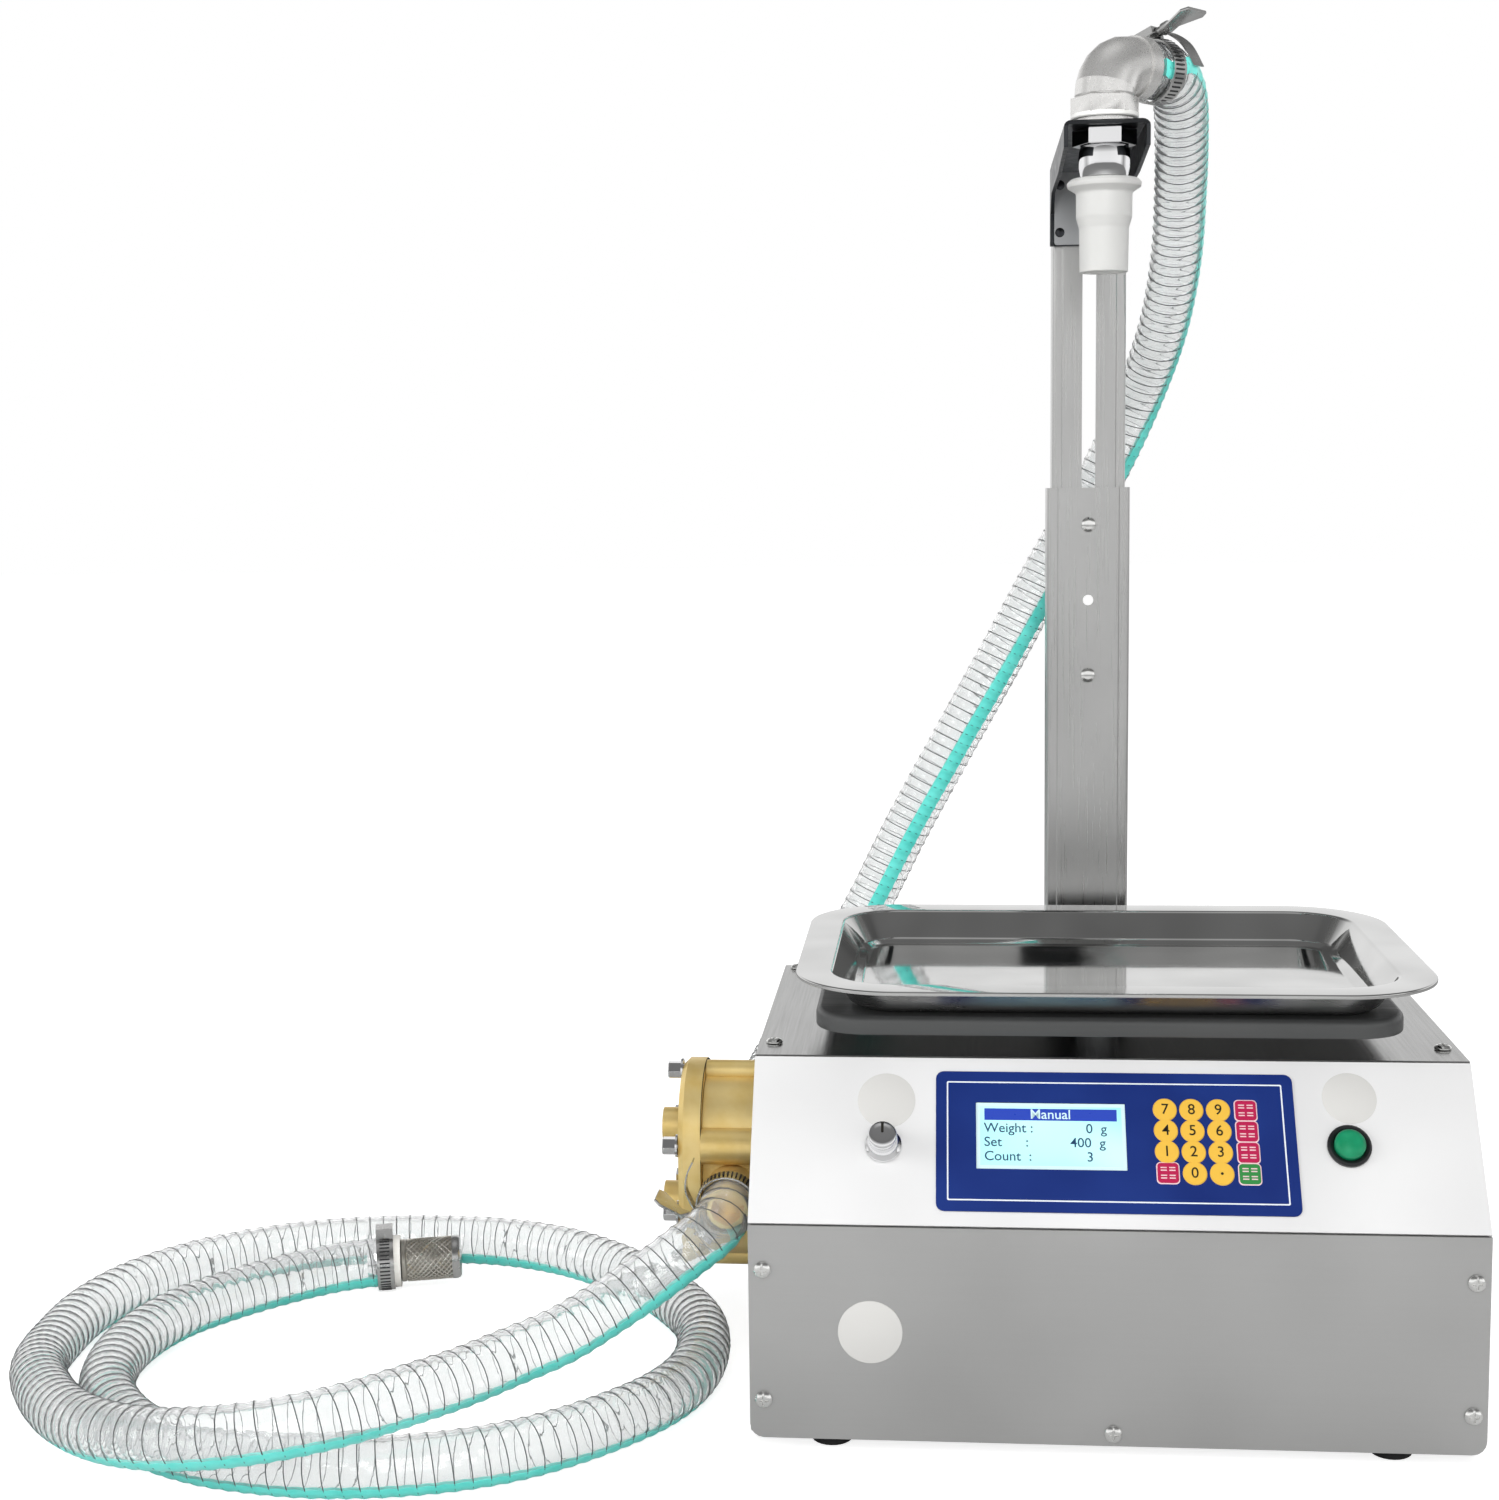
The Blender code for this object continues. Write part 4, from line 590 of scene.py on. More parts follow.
# ---------------------------------------------------------------- Cabinet screws
# Stainless M4 pan heads with a cross recess, cold-headed and bright. Five hold the front to the
# pan and four hold the top plate down.
screw_steel = steel("cold_headed_stainless", "#F0F0EE", 0.16, (1.5, 1.5, 1.5), depth_mm=0.01)
for node in [name for name in frame["nodes"] if name.startswith(("front_screw", "top_screw"))]:
    soften(node, screw_steel, 0.2)

# ---------------------------------------------------------------- Display and keypad
# A polyester membrane overlay, printed blue on its back and glued to the fascia, with a window over
# the backlit display. Embossed keys stand up under it. A thin white line is printed round it.
FOLD_Z = 118.0
SLOPE_SIN, SLOPE_COS = 0.8, 0.6
OVERLAY_TOP = 0.9


def on_slope(x, up, out=0.0):
    """A place on the fascia: across, up the slope from the fold, and out from it, in millimetres."""
    return place(x, SLOPE_COS * up - SLOPE_SIN * out, FOLD_Z + SLOPE_SIN * up + SLOPE_COS * out)


SLOPE_TURN = Matrix(((1.0, 0.0, 0.0), (0.0, SLOPE_COS, -SLOPE_SIN), (0.0, SLOPE_SIN, SLOPE_COS))).to_4x4()


def slope_matrix(x, up, out=0.0):
    """A matrix for a piece on the fascia, with its Z straight out of it."""
    return Matrix.Translation(on_slope(x, up, out)) @ SLOPE_TURN


def rounded_loop(width, depth, radius, z=0.0, steps=6):
    """A rounded rectangle about the origin, in millimetres, anticlockwise."""
    points = []
    for quarter, (sx, sy) in enumerate(((1, 1), (-1, 1), (-1, -1), (1, -1))):
        for i in range(steps + 1):
            angle = math.pi / 2.0 * (quarter + i / steps)
            points.append(Vector((sx * (width / 2.0 - radius) + radius * math.cos(angle),
                                  sy * (depth / 2.0 - radius) + radius * math.sin(angle), z)))
    return points


def loft(name, loops, material, matrix, caps=True, closed=False):
    """A skin over loops of points in millimetres, its ends filled or open, or joined if closed."""
    bm = bmesh.new()
    rings = [[bm.verts.new(point * MM) for point in loop] for loop in loops]
    pairs = list(zip(rings, rings[1:])) + ([(rings[-1], rings[0])] if closed else [])
    for low, high in pairs:
        for i in range(len(low)):
            j = (i + 1) % len(low)
            bm.faces.new((low[i], low[j], high[j], high[i]))
    if caps and not closed:
        bm.faces.new(list(reversed(rings[0])))
        bm.faces.new(rings[-1])
    bmesh.ops.recalc_face_normals(bm, faces=bm.faces)
    bm.transform(matrix)
    mesh = bpy.data.meshes.new(name)
    bm.to_mesh(mesh)
    bm.free()
    mesh.materials.append(material)
    return mesh


def slab(name, size, corner, heights, material, matrix, steps=6):
    """A flat rounded rectangle between two heights, in millimetres."""
    return loft(name, [rounded_loop(*size, corner, z, steps) for z in heights], material, matrix)


# back-printed polyester film: even deep blue with a fine matte texture
blue_film = surfaced("printed_polyester_film", 0.7, depth_mm=0.01, Roughness=0.5, IOR=1.35,
                     clouds=(40.0, 2.0, (0.3, "#11286C"), (0.7, "#183178")))
soften("keypad_overlay", blue_film, 0.15)


def ink_material(name, colour, roughness=0.45):
    """Screen-printed ink: even, with a slight unevenness of the ink film."""
    return surfaced(name, 2.0, roughness=(roughness - 0.06, roughness + 0.06), IOR=1.5,
                    Base_Color=linear(colour))


white_ink = ink_material("white_ink", "#E6ECF2")
black_ink = ink_material("black_ink", "#1A1712")
BORDER_WIDTH, BORDER_DEPTH = 167.0, 62.5
BORDER_LINE = 0.7
BORDER_INK = 0.08
inner_size = (BORDER_WIDTH - 2.0 * BORDER_LINE, BORDER_DEPTH - 2.0 * BORDER_LINE)
border_loops = [rounded_loop(BORDER_WIDTH, BORDER_DEPTH, 0.8, z) for z in (0.0, BORDER_INK)]
border_loops += [rounded_loop(*inner_size, 0.5, z) for z in (BORDER_INK, 0.0)]
add_piece(loft("overlay_border", border_loops, white_ink, slope_matrix(2.0, 45.2, OVERLAY_TOP), closed=True),
          "base")

# the display: cyan-white backlit glass, a little uneven, with a blue title bar and dark segments
lcd_glow, tree, shader = new_material("backlit_display", Roughness=0.15, IOR=1.5, Emission_Strength=0.22)
spread = add_node(tree, "ShaderNodeTexNoise", {"Vector": in_mm(tree, 60.0, 30.0, 30.0), "Scale": 1.0,
                                               "Detail": 0.0})
glow = add_node(tree, "ShaderNodeValToRGB", {"Fac": spread.outputs["Fac"]})
set_stops(glow.color_ramp, [(0.35, linear("#9BE6EA")), (0.65, linear("#C2F7F6"))])
tree.links.new(glow.outputs["Color"], shader.inputs["Base Color"])
tree.links.new(glow.outputs["Color"], shader.inputs["Emission Color"])
lcd_frame = ink_material("display_frame", "#D5F0F4", 0.3)
lcd_title = ink_material("display_title_bar", "#2A46B4", 0.3)
lcd_dark = ink_material("display_segments", "#24486B", 0.3)
LCD_X, LCD_UP = -29.7, 48.0
glass_at = slope_matrix(LCD_X, LCD_UP, 0.05)
title_at = glass_at @ Matrix.Translation((0.0, 11.3 * MM, 0.0))
for name, size, corner, heights, material, matrix in (
        ("display_frame", (74.3, 34.8), 0.3, (0.0, 0.12), lcd_frame, glass_at),
        ("display_glass", (70.5, 31.0), 0.3, (0.12, 0.22), lcd_glow, glass_at),
        ("display_title_bar", (66.0, 6.2), 0.2, (0.22, 0.28), lcd_title, title_at)):
    add_piece(slab(name, size, corner, heights, material, matrix), "base")

SIZE_OF_CAPITALS = 1.38
STROKE_GAIN = 0.00875
INK_DEPTH = 0.02


def lettering(name, words, material):
    """Raised characters on the slope, given as (text, x, up, height, out, centred), as one piece."""
    bm = bmesh.new()
    for text, x, up, height, out, centred in words:
        data = bpy.data.curves.new(name + "_text", "FONT")
        data.body = text
        data.size = SIZE_OF_CAPITALS * height * MM
        data.extrude = INK_DEPTH * MM
        data.offset = STROKE_GAIN * height * MM
        data.resolution_u = 4
        data.align_x = "CENTER" if centred else "LEFT"
        data.align_y = "CENTER"
        letters = applied(name + "_letters", data)
        letters.transform(slope_matrix(x, up, out + INK_DEPTH))
        bm.from_mesh(letters)
    mesh = bpy.data.meshes.new(name)
    bm.to_mesh(mesh)
    bm.free()
    mesh.materials.clear()
    mesh.materials.append(material)
    return add_piece(mesh, "base")


LCD_LEFT = -63.0
LCD_LETTER = 5.1
LCD_FACE = 0.27
lcd_rows = (("Weight :", "0  g", -12.3, 52.0), ("Set      :", "400  g", -20.2, 44.6),
            ("Count  :", "3", -12.3, 37.2))
lcd_words = [(text, x, up, LCD_LETTER, LCD_FACE, False) for label, value, value_x, up in lcd_rows
             for text, x in ((label, LCD_LEFT), (value, value_x))]
lettering("display_title", [("Manual", LCD_X, 59.3, 5.2, 0.34, True)], lcd_frame)
lettering("display_rows", lcd_words, lcd_dark)

# the keys: low embossed domes, made round or square by one tree
key_tree, given = geometry_tree("embossed_keys", [
    ("Width", "Float", 0.012), ("Corner", "Float", 0.006), ("Height", "Float", 0.0005),
    ("Material", "Material", None)])
outline = add_node(key_tree, "GeometryNodeCurvePrimitiveQuadrilateral", {"Width": given["Width"],
                                                                        "Height": given["Width"]})
round_corners = add_node(key_tree, "GeometryNodeFilletCurve", {"Curve": outline.outputs["Curve"], "Count": 9,
                                                               "Radius": given["Corner"]}, mode="POLY")
filled = add_node(key_tree, "GeometryNodeFillCurve", {"Curve": round_corners.outputs["Curve"]}, mode="NGONS")
raised = add_node(key_tree, "GeometryNodeExtrudeMesh", {"Mesh": filled.outputs["Mesh"],
                                                       "Offset Scale": given["Height"]})
crown = add_node(key_tree, "GeometryNodeScaleElements", {"Geometry": raised.outputs["Mesh"],
                                                        "Selection": raised.outputs["Top"], "Scale": 0.93})
keys = add_node(key_tree, "GeometryNodeInstanceOnPoints", {"Points": given["Geometry"],
                                                          "Instance": crown.outputs["Geometry"]})
close_tree(key_tree, keys.outputs["Instances"], given["Material"])


def places(name, spots):
    """Loose points for a tree to put its copies on, in millimetres."""
    seed = bpy.data.meshes.new(name + "_places")
    seed.from_pydata([Vector(spot) * MM for spot in spots], [], [])
    return seed


def build_keys(name, spots, width, corner, material, height=0.5):
    """Embossed keys at places given as (x, up the slope), standing on the overlay."""
    mesh = grow(name, places(name, [(x, up, 0.0) for x, up in spots]), key_tree, {
        "Width": width * MM, "Corner": corner * MM, "Height": height * MM, "Material": material})
    mesh.transform(slope_matrix(0.0, 0.0, OVERLAY_TOP))
    add_piece(mesh, "base")


KEY_COLUMNS = (27.2, 40.3, 53.5, 67.0)
KEY_ROWS = (62.5, 51.5, 40.5, 29.5)
amber_key = ink_material("amber_key_film", "#E9B945", 0.35)
red_key = ink_material("red_key_film", "#B3184B", 0.35)
green_key = ink_material("green_key_film", "#2F8540", 0.35)
pale_key_edge = ink_material("key_edge_ink", "#E8C9CC", 0.4)
zero_key, point_key = [(KEY_COLUMNS[i], KEY_ROWS[3]) for i in (1, 2)]
amber_spots = [(x, up) for up in KEY_ROWS[:3] for x in KEY_COLUMNS[:3]] + [zero_key, point_key]
red_spots = [(KEY_COLUMNS[3], up) for up in KEY_ROWS[:3]] + [(KEY_COLUMNS[0], KEY_ROWS[3])]
green_spots = [(KEY_COLUMNS[3], KEY_ROWS[3])]
build_keys("amber_keys", amber_spots, 12.0, 5.95, amber_key)
build_keys("square_key_edges", red_spots + green_spots, 11.4, 2.2, pale_key_edge, 0.25)
build_keys("red_keys", red_spots, 10.7, 1.9, red_key)
build_keys("green_key", green_spots, 10.7, 1.9, green_key)
KEY_FACE = OVERLAY_TOP + 0.5
DIGIT_HEIGHT = 5.6
key_words = [(text, x, up, DIGIT_HEIGHT, KEY_FACE, True) for text, (x, up) in zip("7894561230", amber_spots)]
lettering("key_digits", key_words, black_ink)
build_keys("key_point", [point_key], 1.5, 0.7, black_ink, 0.56)

# plain bars stand for the small print on the function keys
bar_tree, given = geometry_tree("key_bars", [("Length", "Float", 0.003), ("Thickness", "Float", 0.0006),
                                             ("Material", "Material", None)])
size = add_node(bar_tree, "ShaderNodeCombineXYZ", {"X": given["Length"], "Y": given["Thickness"],
                                                   "Z": 0.06 * MM})
bar = add_node(bar_tree, "GeometryNodeMeshCube", {"Size": size.outputs["Vector"]})
bars = add_node(bar_tree, "GeometryNodeInstanceOnPoints", {"Points": given["Geometry"],
                                                          "Instance": bar.outputs["Mesh"]})
close_tree(bar_tree, bars.outputs["Instances"], given["Material"])
bar_spots = [(x + dx, up + dy, 0.0) for x, up in red_spots + green_spots for dx in (-2.1, 2.1)
             for dy in (-2.7, -1.3, 1.3, 2.7)]
bar_mesh = grow("key_bars", places("key_bar", bar_spots), bar_tree, {
    "Length": 3.0 * MM, "Thickness": 0.6 * MM, "Material": pale_key_edge})
bar_mesh.transform(slope_matrix(0.0, 0.0, KEY_FACE + INK_DEPTH))
add_piece(bar_mesh, "base")

# ---------------------------------------------------------------- Round labels
# Plain labels of coated white paper, 29 mm across over the knob, 27 mm over the button and 32 mm
# on the front, stuck on by hand. They are blank.
label_paper = surfaced("coated_label_paper", 1.5, detail=4.0, depth_mm=0.02, Base_Color=linear("#D2D1CE"),
                       Roughness=0.5, IOR=1.45)


def circle(radius, z, count=48):
    """A circle about the Z axis, in millimetres."""
    angles = [2.0 * math.pi * i / count for i in range(count)]
    return [Vector((radius * math.cos(angle), radius * math.sin(angle), z)) for angle in angles]


def turned(name, profile, material, matrix, count=48, closed=False):
    """A piece turned on a lathe, from its profile as (radius, height) in millimetres."""
    return loft(name, [circle(radius, z, count) for radius, z in profile], material, matrix, closed=closed)


TO_FRONT = Matrix.Rotation(math.pi / 2.0, 4, "X")
for name, radius, matrix in (("knob_label", 14.6, slope_matrix(-112.0, 66.0)),
                             ("button_label", 13.4, slope_matrix(118.5, 70.0)),
                             ("front_label", 16.0, Matrix.Translation(place(-119.6, 0.0, 64.0)) @ TO_FRONT)):
    label_profile = [(radius, 0.02), (radius, 0.16), (radius - 0.1, 0.2)]
    add_piece(turned(name, label_profile, label_paper, matrix), "base")

# ---------------------------------------------------------------- Flow knob
# A turned brass knob, bright chromed, with a wide skirt, a waist and a cap. A grub screw holds it
# on the potentiometer's shaft, and a black line on the cap shows the setting.
chrome = steel("bright_chrome", "#EDEDEE", 0.07, (20.0, 20.0, 20.0), depth_mm=0.01, spread=0.03)
knob_at = slope_matrix(-113.4, 42.3)
knob_profile = [(3.3, 0.7), (9.0, 0.7), (9.3, 1.2), (9.2, 2.4), (8.4, 3.2), (7.4, 3.9), (6.7, 5.2),
                (6.5, 7.0), (6.7, 10.0), (7.2, 13.2), (7.3, 14.4), (7.0, 15.2), (6.2, 15.8), (4.0, 16.1),
                (1.5, 16.2)]
knob = add_piece(turned("flow_knob_turned", knob_profile, chrome, knob_at), "flow_knob")
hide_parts("flow_knob")
pointer_at = knob_at @ Matrix.Translation((0.0, 3.4 * MM, 0.0))
add_piece(slab("knob_pointer", (1.3, 5.4), 0.5, (16.05, 16.35), black_ink, pointer_at), "flow_knob")

# ---------------------------------------------------------------- Start button
# A sprung push button held by a nut behind the fascia: a black bezel and barrel of glass-filled
# nylon, a little grainy and dull, and a glossy green acetal cap.
black_nylon = surfaced("black_nylon", 1.0, depth_mm=0.03, roughness=(0.32, 0.5), Base_Color=linear("#17181A"),
                       IOR=1.53)
green_acetal = surfaced("green_acetal", clouds=(8.0, 2.0, (0.3, "#118055"), (0.7, "#1F9569")), Roughness=0.3,
                        IOR=1.4)
soften("start_button_body", black_nylon, 0.3)
soften("start_button_cap", green_acetal, 0.3, 50.0)

# ---------------------------------------------------------------- Gear pump
# Sand-cast brass body and cover, machined on their joint faces and tumbled, with a thin paper
# gasket between them and chromed hexagon bolts on washers. Steel gears run inside it.

# cast brass: yellow and satin, pitted like fine sand and clouded by tarnish
cast_brass = surfaced("cast_brass", 1.4, detail=4.0, depth_mm=0.12, strength=0.6, roughness=(0.3, 0.48),
                      clouds=(18.0, 3.0, (0.3, "#EBCB7C"), (0.6, "#F6DC98")), Metallic=0.66)
soften("pump_body", cast_brass, 0.8)
soften("pump_cover", cast_brass, 0.9)
for number in range(1, 5):
    soften(f"pump_bolt_{number}", chrome, 0.25)
gear_steel = steel("ground_gear_steel", "#8E9092", 0.3, (1.0, 1.0, 1.0))
for node in ("drive_gear", "idler_gear"):
    soften(node, gear_steel, 0.0)

# the pump's own axes: X down its length, Z out of the cabinet's side
PUMP_SEAM = 33.75
COVER_FACE = 46.6
HALF_LENGTH = 21.0
pump_turn = Matrix(((0.0, 0.0, -1.0), (0.0, 1.0, 0.0), (1.0, 0.0, 0.0))).to_4x4()
pump_matrix = Matrix.Translation(place(-180.0, 130.0, 109.0)) @ pump_turn


def stadium(radius, half_centres, z, steps=18):
    """A round-ended outline about the origin, long along X, in millimetres."""
    points = []
    for side in (1, -1):
        for i in range(steps + 1):
            angle = -math.pi / 2.0 + math.pi * i / steps + (0.0 if side > 0 else math.pi)
            x = side * half_centres + radius * math.cos(angle)
            points.append(Vector((x, radius * math.sin(angle), z)))
    return points


gasket_paper = surfaced("gasket_paper", 1.0, depth_mm=0.03, Base_Color=linear("#2B2A26"), Roughness=0.8)
gasket_section = [(36.2, -0.13), (37.2, -0.13), (37.2, 0.13), (36.2, 0.13)]
gasket_loops = [stadium(radius, HALF_LENGTH, PUMP_SEAM + z) for radius, z in gasket_section]
add_piece(loft("pump_gasket", gasket_loops, gasket_paper, pump_matrix, closed=True), "base")

# the two bolts on the far side, and plain washers under all six heads, by one tree
bolt_tree, given = geometry_tree("hexagon_bolts", [
    ("Across flats", "Float", 0.0086), ("Height", "Float", 0.0088), ("Sides", "Int", 6),
    ("Material", "Material", None)])
half_flats = add_node(bolt_tree, "ShaderNodeMath", {0: given["Across flats"], 1: math.sqrt(3.0)},
                      operation="DIVIDE")
head = add_node(bolt_tree, "GeometryNodeMeshCylinder", {
    "Vertices": given["Sides"], "Radius": half_flats.outputs["Value"], "Depth": given["Height"]})
half_height = add_node(bolt_tree, "ShaderNodeMath", {0: given["Height"], 1: 0.5}, operation="MULTIPLY")
lift = add_node(bolt_tree, "ShaderNodeCombineXYZ", {"Z": half_height.outputs["Value"]})
seated = add_node(bolt_tree, "GeometryNodeTransform", {"Geometry": head.outputs["Mesh"],
                                                      "Translation": lift.outputs["Vector"]})
bolts = add_node(bolt_tree, "GeometryNodeInstanceOnPoints", {"Points": given["Geometry"],
                                                            "Instance": seated.outputs["Geometry"]})
close_tree(bolt_tree, bolts.outputs["Instances"], given["Material"])
far_bolts = [(18.5, 31.0, COVER_FACE), (-18.5, 31.0, COVER_FACE)]
near_bolts = [(18.5, -31.0, COVER_FACE), (-18.5, -31.0, COVER_FACE)]
end_bolts = [(52.5, 0.0, COVER_FACE), (-52.5, 0.0, COVER_FACE)]
washer_sizes = {"Across flats": 10.8 * MM, "Height": 1.1 * MM, "Sides": 32}
for name, spots, sizes in (("rear_pump_bolts", far_bolts, {}),
                           ("pump_washers", end_bolts + far_bolts + near_bolts, washer_sizes)):
    heads = grow(name, places(name, spots), bolt_tree, {**sizes, "Material": chrome})
    heads.transform(pump_matrix)
    add_piece(heads, "base")

# ---------------------------------------------------------------- Hose fittings and clamps
# A turned hose tail with three barbs is pushed into each hose end, brass at the pump and chromed
# elsewhere. Worm-drive clamps of slotted stainless band hold them, two of them with a flat wing.

# stainless strip, rolled bright: it glints along the band's edges
clamp_steel = steel("clamp_stainless", "#C9C9C8", 0.24, (8.0, 8.0, 8.0), depth_mm=0.006)
for node in ("inlet_barb", "outlet_barb", "inlet_clamp_band", "outlet_clamp_band", "strainer_clamp"):
    soften(node, clamp_steel, 0.15)
for node in ("inlet_clamp_wing_screw", "outlet_clamp_wing_screw"):
    soften(node, clamp_steel, 0.3)


def facing(at, z_axis, x_hint):
    """A matrix at a point with its Z along an axis and its X as near a second one as it can be."""
    z_axis = z_axis.normalized()
    x_axis = (x_hint - z_axis * x_hint.dot(z_axis)).normalized()
    return Matrix.Translation(at) @ Matrix((x_axis, z_axis.cross(x_axis), z_axis)).transposed().to_4x4()


BARB_PITCH = 5.5
ONE_BARB = ((11.2, 1.5), (12.25, 2.0), (11.0, 6.5))
SEAM_SIDE = Vector((0.3, 0.2, 1.0))
barb_profile = [(6.0, 0.0), (11.2, 0.0)]
for barb in range(3):
    barb_profile += [(radius, z + BARB_PITCH * barb) for radius, z in ONE_BARB]
barb_profile += [(10.6, 19.0), (8.5, 19.0), (8.5, 1.0)]
hose_ends = {"inlet": (inlet_line[0], inlet_line[1] - inlet_line[0], "base"),
             "outlet": (outlet_line[0], outlet_line[1] - outlet_line[0], "base"),
             "elbow": (outlet_line[-1], outlet_line[-2] - outlet_line[-1], "riser"),
             "strainer": (inlet_line[-1], inlet_line[-2] - inlet_line[-1], "base")}
for name, (at, along, body) in hose_ends.items():
    tail_metal = cast_brass if name in ("inlet", "outlet") else chrome
    add_piece(turned(name + "_hose_tail", barb_profile, tail_metal, facing(at, along, SEAM_SIDE), 32), body)

# slots stamped in the bands, all the way round
slot_tree, given = geometry_tree("band_slots", [("Radius", "Float", 0.0167), ("Count", "Int", 44),
                                                ("Length", "Float", 0.006), ("Material", "Material", None)])
ring = add_node(slot_tree, "GeometryNodeCurvePrimitiveCircle", {"Resolution": given["Count"],
                                                               "Radius": given["Radius"]})
marks = add_node(slot_tree, "GeometryNodeCurveToPoints", {"Curve": ring.outputs["Curve"]}, mode="EVALUATED")
slot_size = add_node(slot_tree, "ShaderNodeCombineXYZ", {"X": 0.25 * MM, "Y": given["Length"], "Z": 0.9 * MM})
slot_box = add_node(slot_tree, "GeometryNodeMeshCube", {"Size": slot_size.outputs["Vector"]})
placed = add_node(slot_tree, "GeometryNodeInstanceOnPoints", {"Points": marks.outputs["Points"],
                                                             "Instance": slot_box.outputs["Mesh"],
                                                             "Rotation": marks.outputs["Rotation"]})
close_tree(slot_tree, placed.outputs["Instances"], given["Material"])
slot_shadow = ink_material("slot_shadow", "#2C2D2E", 0.6)
empty_seed = bpy.data.meshes.new("clamp_seed")
CLAMP_FROM_END = 8.5 * MM
for name in ("inlet", "elbow", "strainer"):
    at, along, body = hose_ends[name]
    slots = grow(name + "_band_slots", empty_seed, slot_tree, {"Material": slot_shadow})
    slots.transform(facing(at + along.normalized() * CLAMP_FROM_END, along, SEAM_SIDE))
    add_piece(slots, body)

# the free end of each band: a strip that leaves the housing and curls away, as (x, y, z) points
BAND_HALF_WIDTH = 4.2 * MM
BAND_THICKNESS = 0.7 * MM
STRAP_TAILS = {"elbow": [(27.0, 160.0, 713.5), (33.0, 162.0, 716.5), (40.0, 163.0, 714.6),
                         (46.5, 164.0, 709.5), (52.5, 165.0, 699.0)],
               "inlet": [(-214.8, 76.0, 101.0), (-216.4, 72.0, 106.0), (-218.4, 68.0, 114.0),
                         (-217.4, 66.0, 122.5), (-214.0, 65.0, 130.0)]}
for name, route in STRAP_TAILS.items():
    line = centreline(route_curve(name + "_strap", route))
    across = hose_ends[name][1].normalized() * BAND_HALF_WIDTH
    bm = bmesh.new()
    edges = [(bm.verts.new(point - across), bm.verts.new(point + across)) for point in line]
    for a, b in zip(edges, edges[1:]):
        bm.faces.new((a[0], b[0], b[1], a[1]))
    strap = bpy.data.meshes.new(name + "_strap_tail")
    bm.to_mesh(strap)
    bm.free()
    strap.materials.append(clamp_steel)
    add_piece(thicken(strap, BAND_THICKNESS), hose_ends[name][2])

# ---------------------------------------------------------------- Foot strainer
# A woven stainless mesh sleeve over a perforated steel core, closed by a spun end cap. A moulded
# nylon bush seats it in the hose's free end, and the third clamp holds it there.
strainer_core = steel("perforated_core_steel", "#CAC6BD", 0.42, (2.0, 2.0, 2.0), depth_mm=0.02)
soften("foot_strainer", strainer_core, 0.4)
white_nylon = surfaced("white_nylon", 3.0, depth_mm=0.03, Base_Color=linear("#F1EFE9"), Roughness=0.45,
                       IOR=1.5)

# the weave: pale drawn wire in helices that lean both ways, thicker than the real one so that it shows
mesh_wire = steel("strainer_mesh_wire", "#EAE6DE", 0.3, (3.0, 3.0, 3.0), depth_mm=0.004)
weave_tree, given = geometry_tree("strainer_weave", [
    ("Radius", "Float", 0.01215), ("Length", "Float", 0.0285), ("Wires", "Int", 22), ("Turns", "Float", 0.42),
    ("Wire radius", "Float", 0.00045), ("Reverse", "Bool", False), ("Material", "Material", None)])
helix = add_node(weave_tree, "GeometryNodeCurveSpiral", {
    "Resolution": 30, "Rotations": given["Turns"], "Start Radius": given["Radius"],
    "End Radius": given["Radius"], "Height": given["Length"], "Reverse": given["Reverse"]})
section = add_node(weave_tree, "GeometryNodeCurvePrimitiveCircle", {"Resolution": 5,
                                                                    "Radius": given["Wire radius"]})
strand = add_node(weave_tree, "GeometryNodeCurveToMesh", {"Curve": helix.outputs["Curve"], "Fill Caps": True,
                                                         "Profile Curve": section.outputs["Curve"]})
starts = add_node(weave_tree, "GeometryNodeMeshLine", {"Count": given["Wires"], "Offset": (0.0, 0.0, 0.0)})
step = add_node(weave_tree, "ShaderNodeMath", {0: 2.0 * math.pi, 1: given["Wires"]}, operation="DIVIDE")
index = add_node(weave_tree, "GeometryNodeInputIndex")
turned_by = add_node(weave_tree, "ShaderNodeMath", {0: index.outputs["Index"], 1: step.outputs["Value"]},
                     operation="MULTIPLY")
turn_vector = add_node(weave_tree, "ShaderNodeCombineXYZ", {"Z": turned_by.outputs["Value"]})
strands = add_node(weave_tree, "GeometryNodeInstanceOnPoints", {"Points": starts.outputs["Mesh"],
                                                               "Instance": strand.outputs["Mesh"],
                                                               "Rotation": turn_vector.outputs["Vector"]})
close_tree(weave_tree, strands.outputs["Instances"], given["Material"])
strainer_at = facing(hose_ends["strainer"][0], -hose_ends["strainer"][1], Vector((0.0, 0.0, 1.0)))
weave_at = strainer_at @ Matrix.Translation((0.0, 0.0, 4.6 * MM))
for name, reverse, radius in (("strainer_weave_left", False, 12.35), ("strainer_weave_right", True, 12.0)):
    weave = grow(name, empty_seed, weave_tree, {"Reverse": reverse, "Radius": radius * MM,
                                                "Material": mesh_wire})
    weave.transform(weave_at)
    add_piece(weave, "base")
bush_profile = [(12.4, -3.5), (15.4, -3.5), (15.4, 0.6), (12.4, 0.6)]
add_piece(turned("strainer_bush", bush_profile, white_nylon, strainer_at, closed=True), "base")
cap_profile = [(12.75, 31.5), (12.9, 32.0), (12.9, 34.6), (12.3, 36.0), (11.0, 36.8), (6.0, 37.0),
               (6.0, 31.5)]
add_piece(turned("strainer_end_cap", cap_profile, clamp_steel, strainer_at), "base")

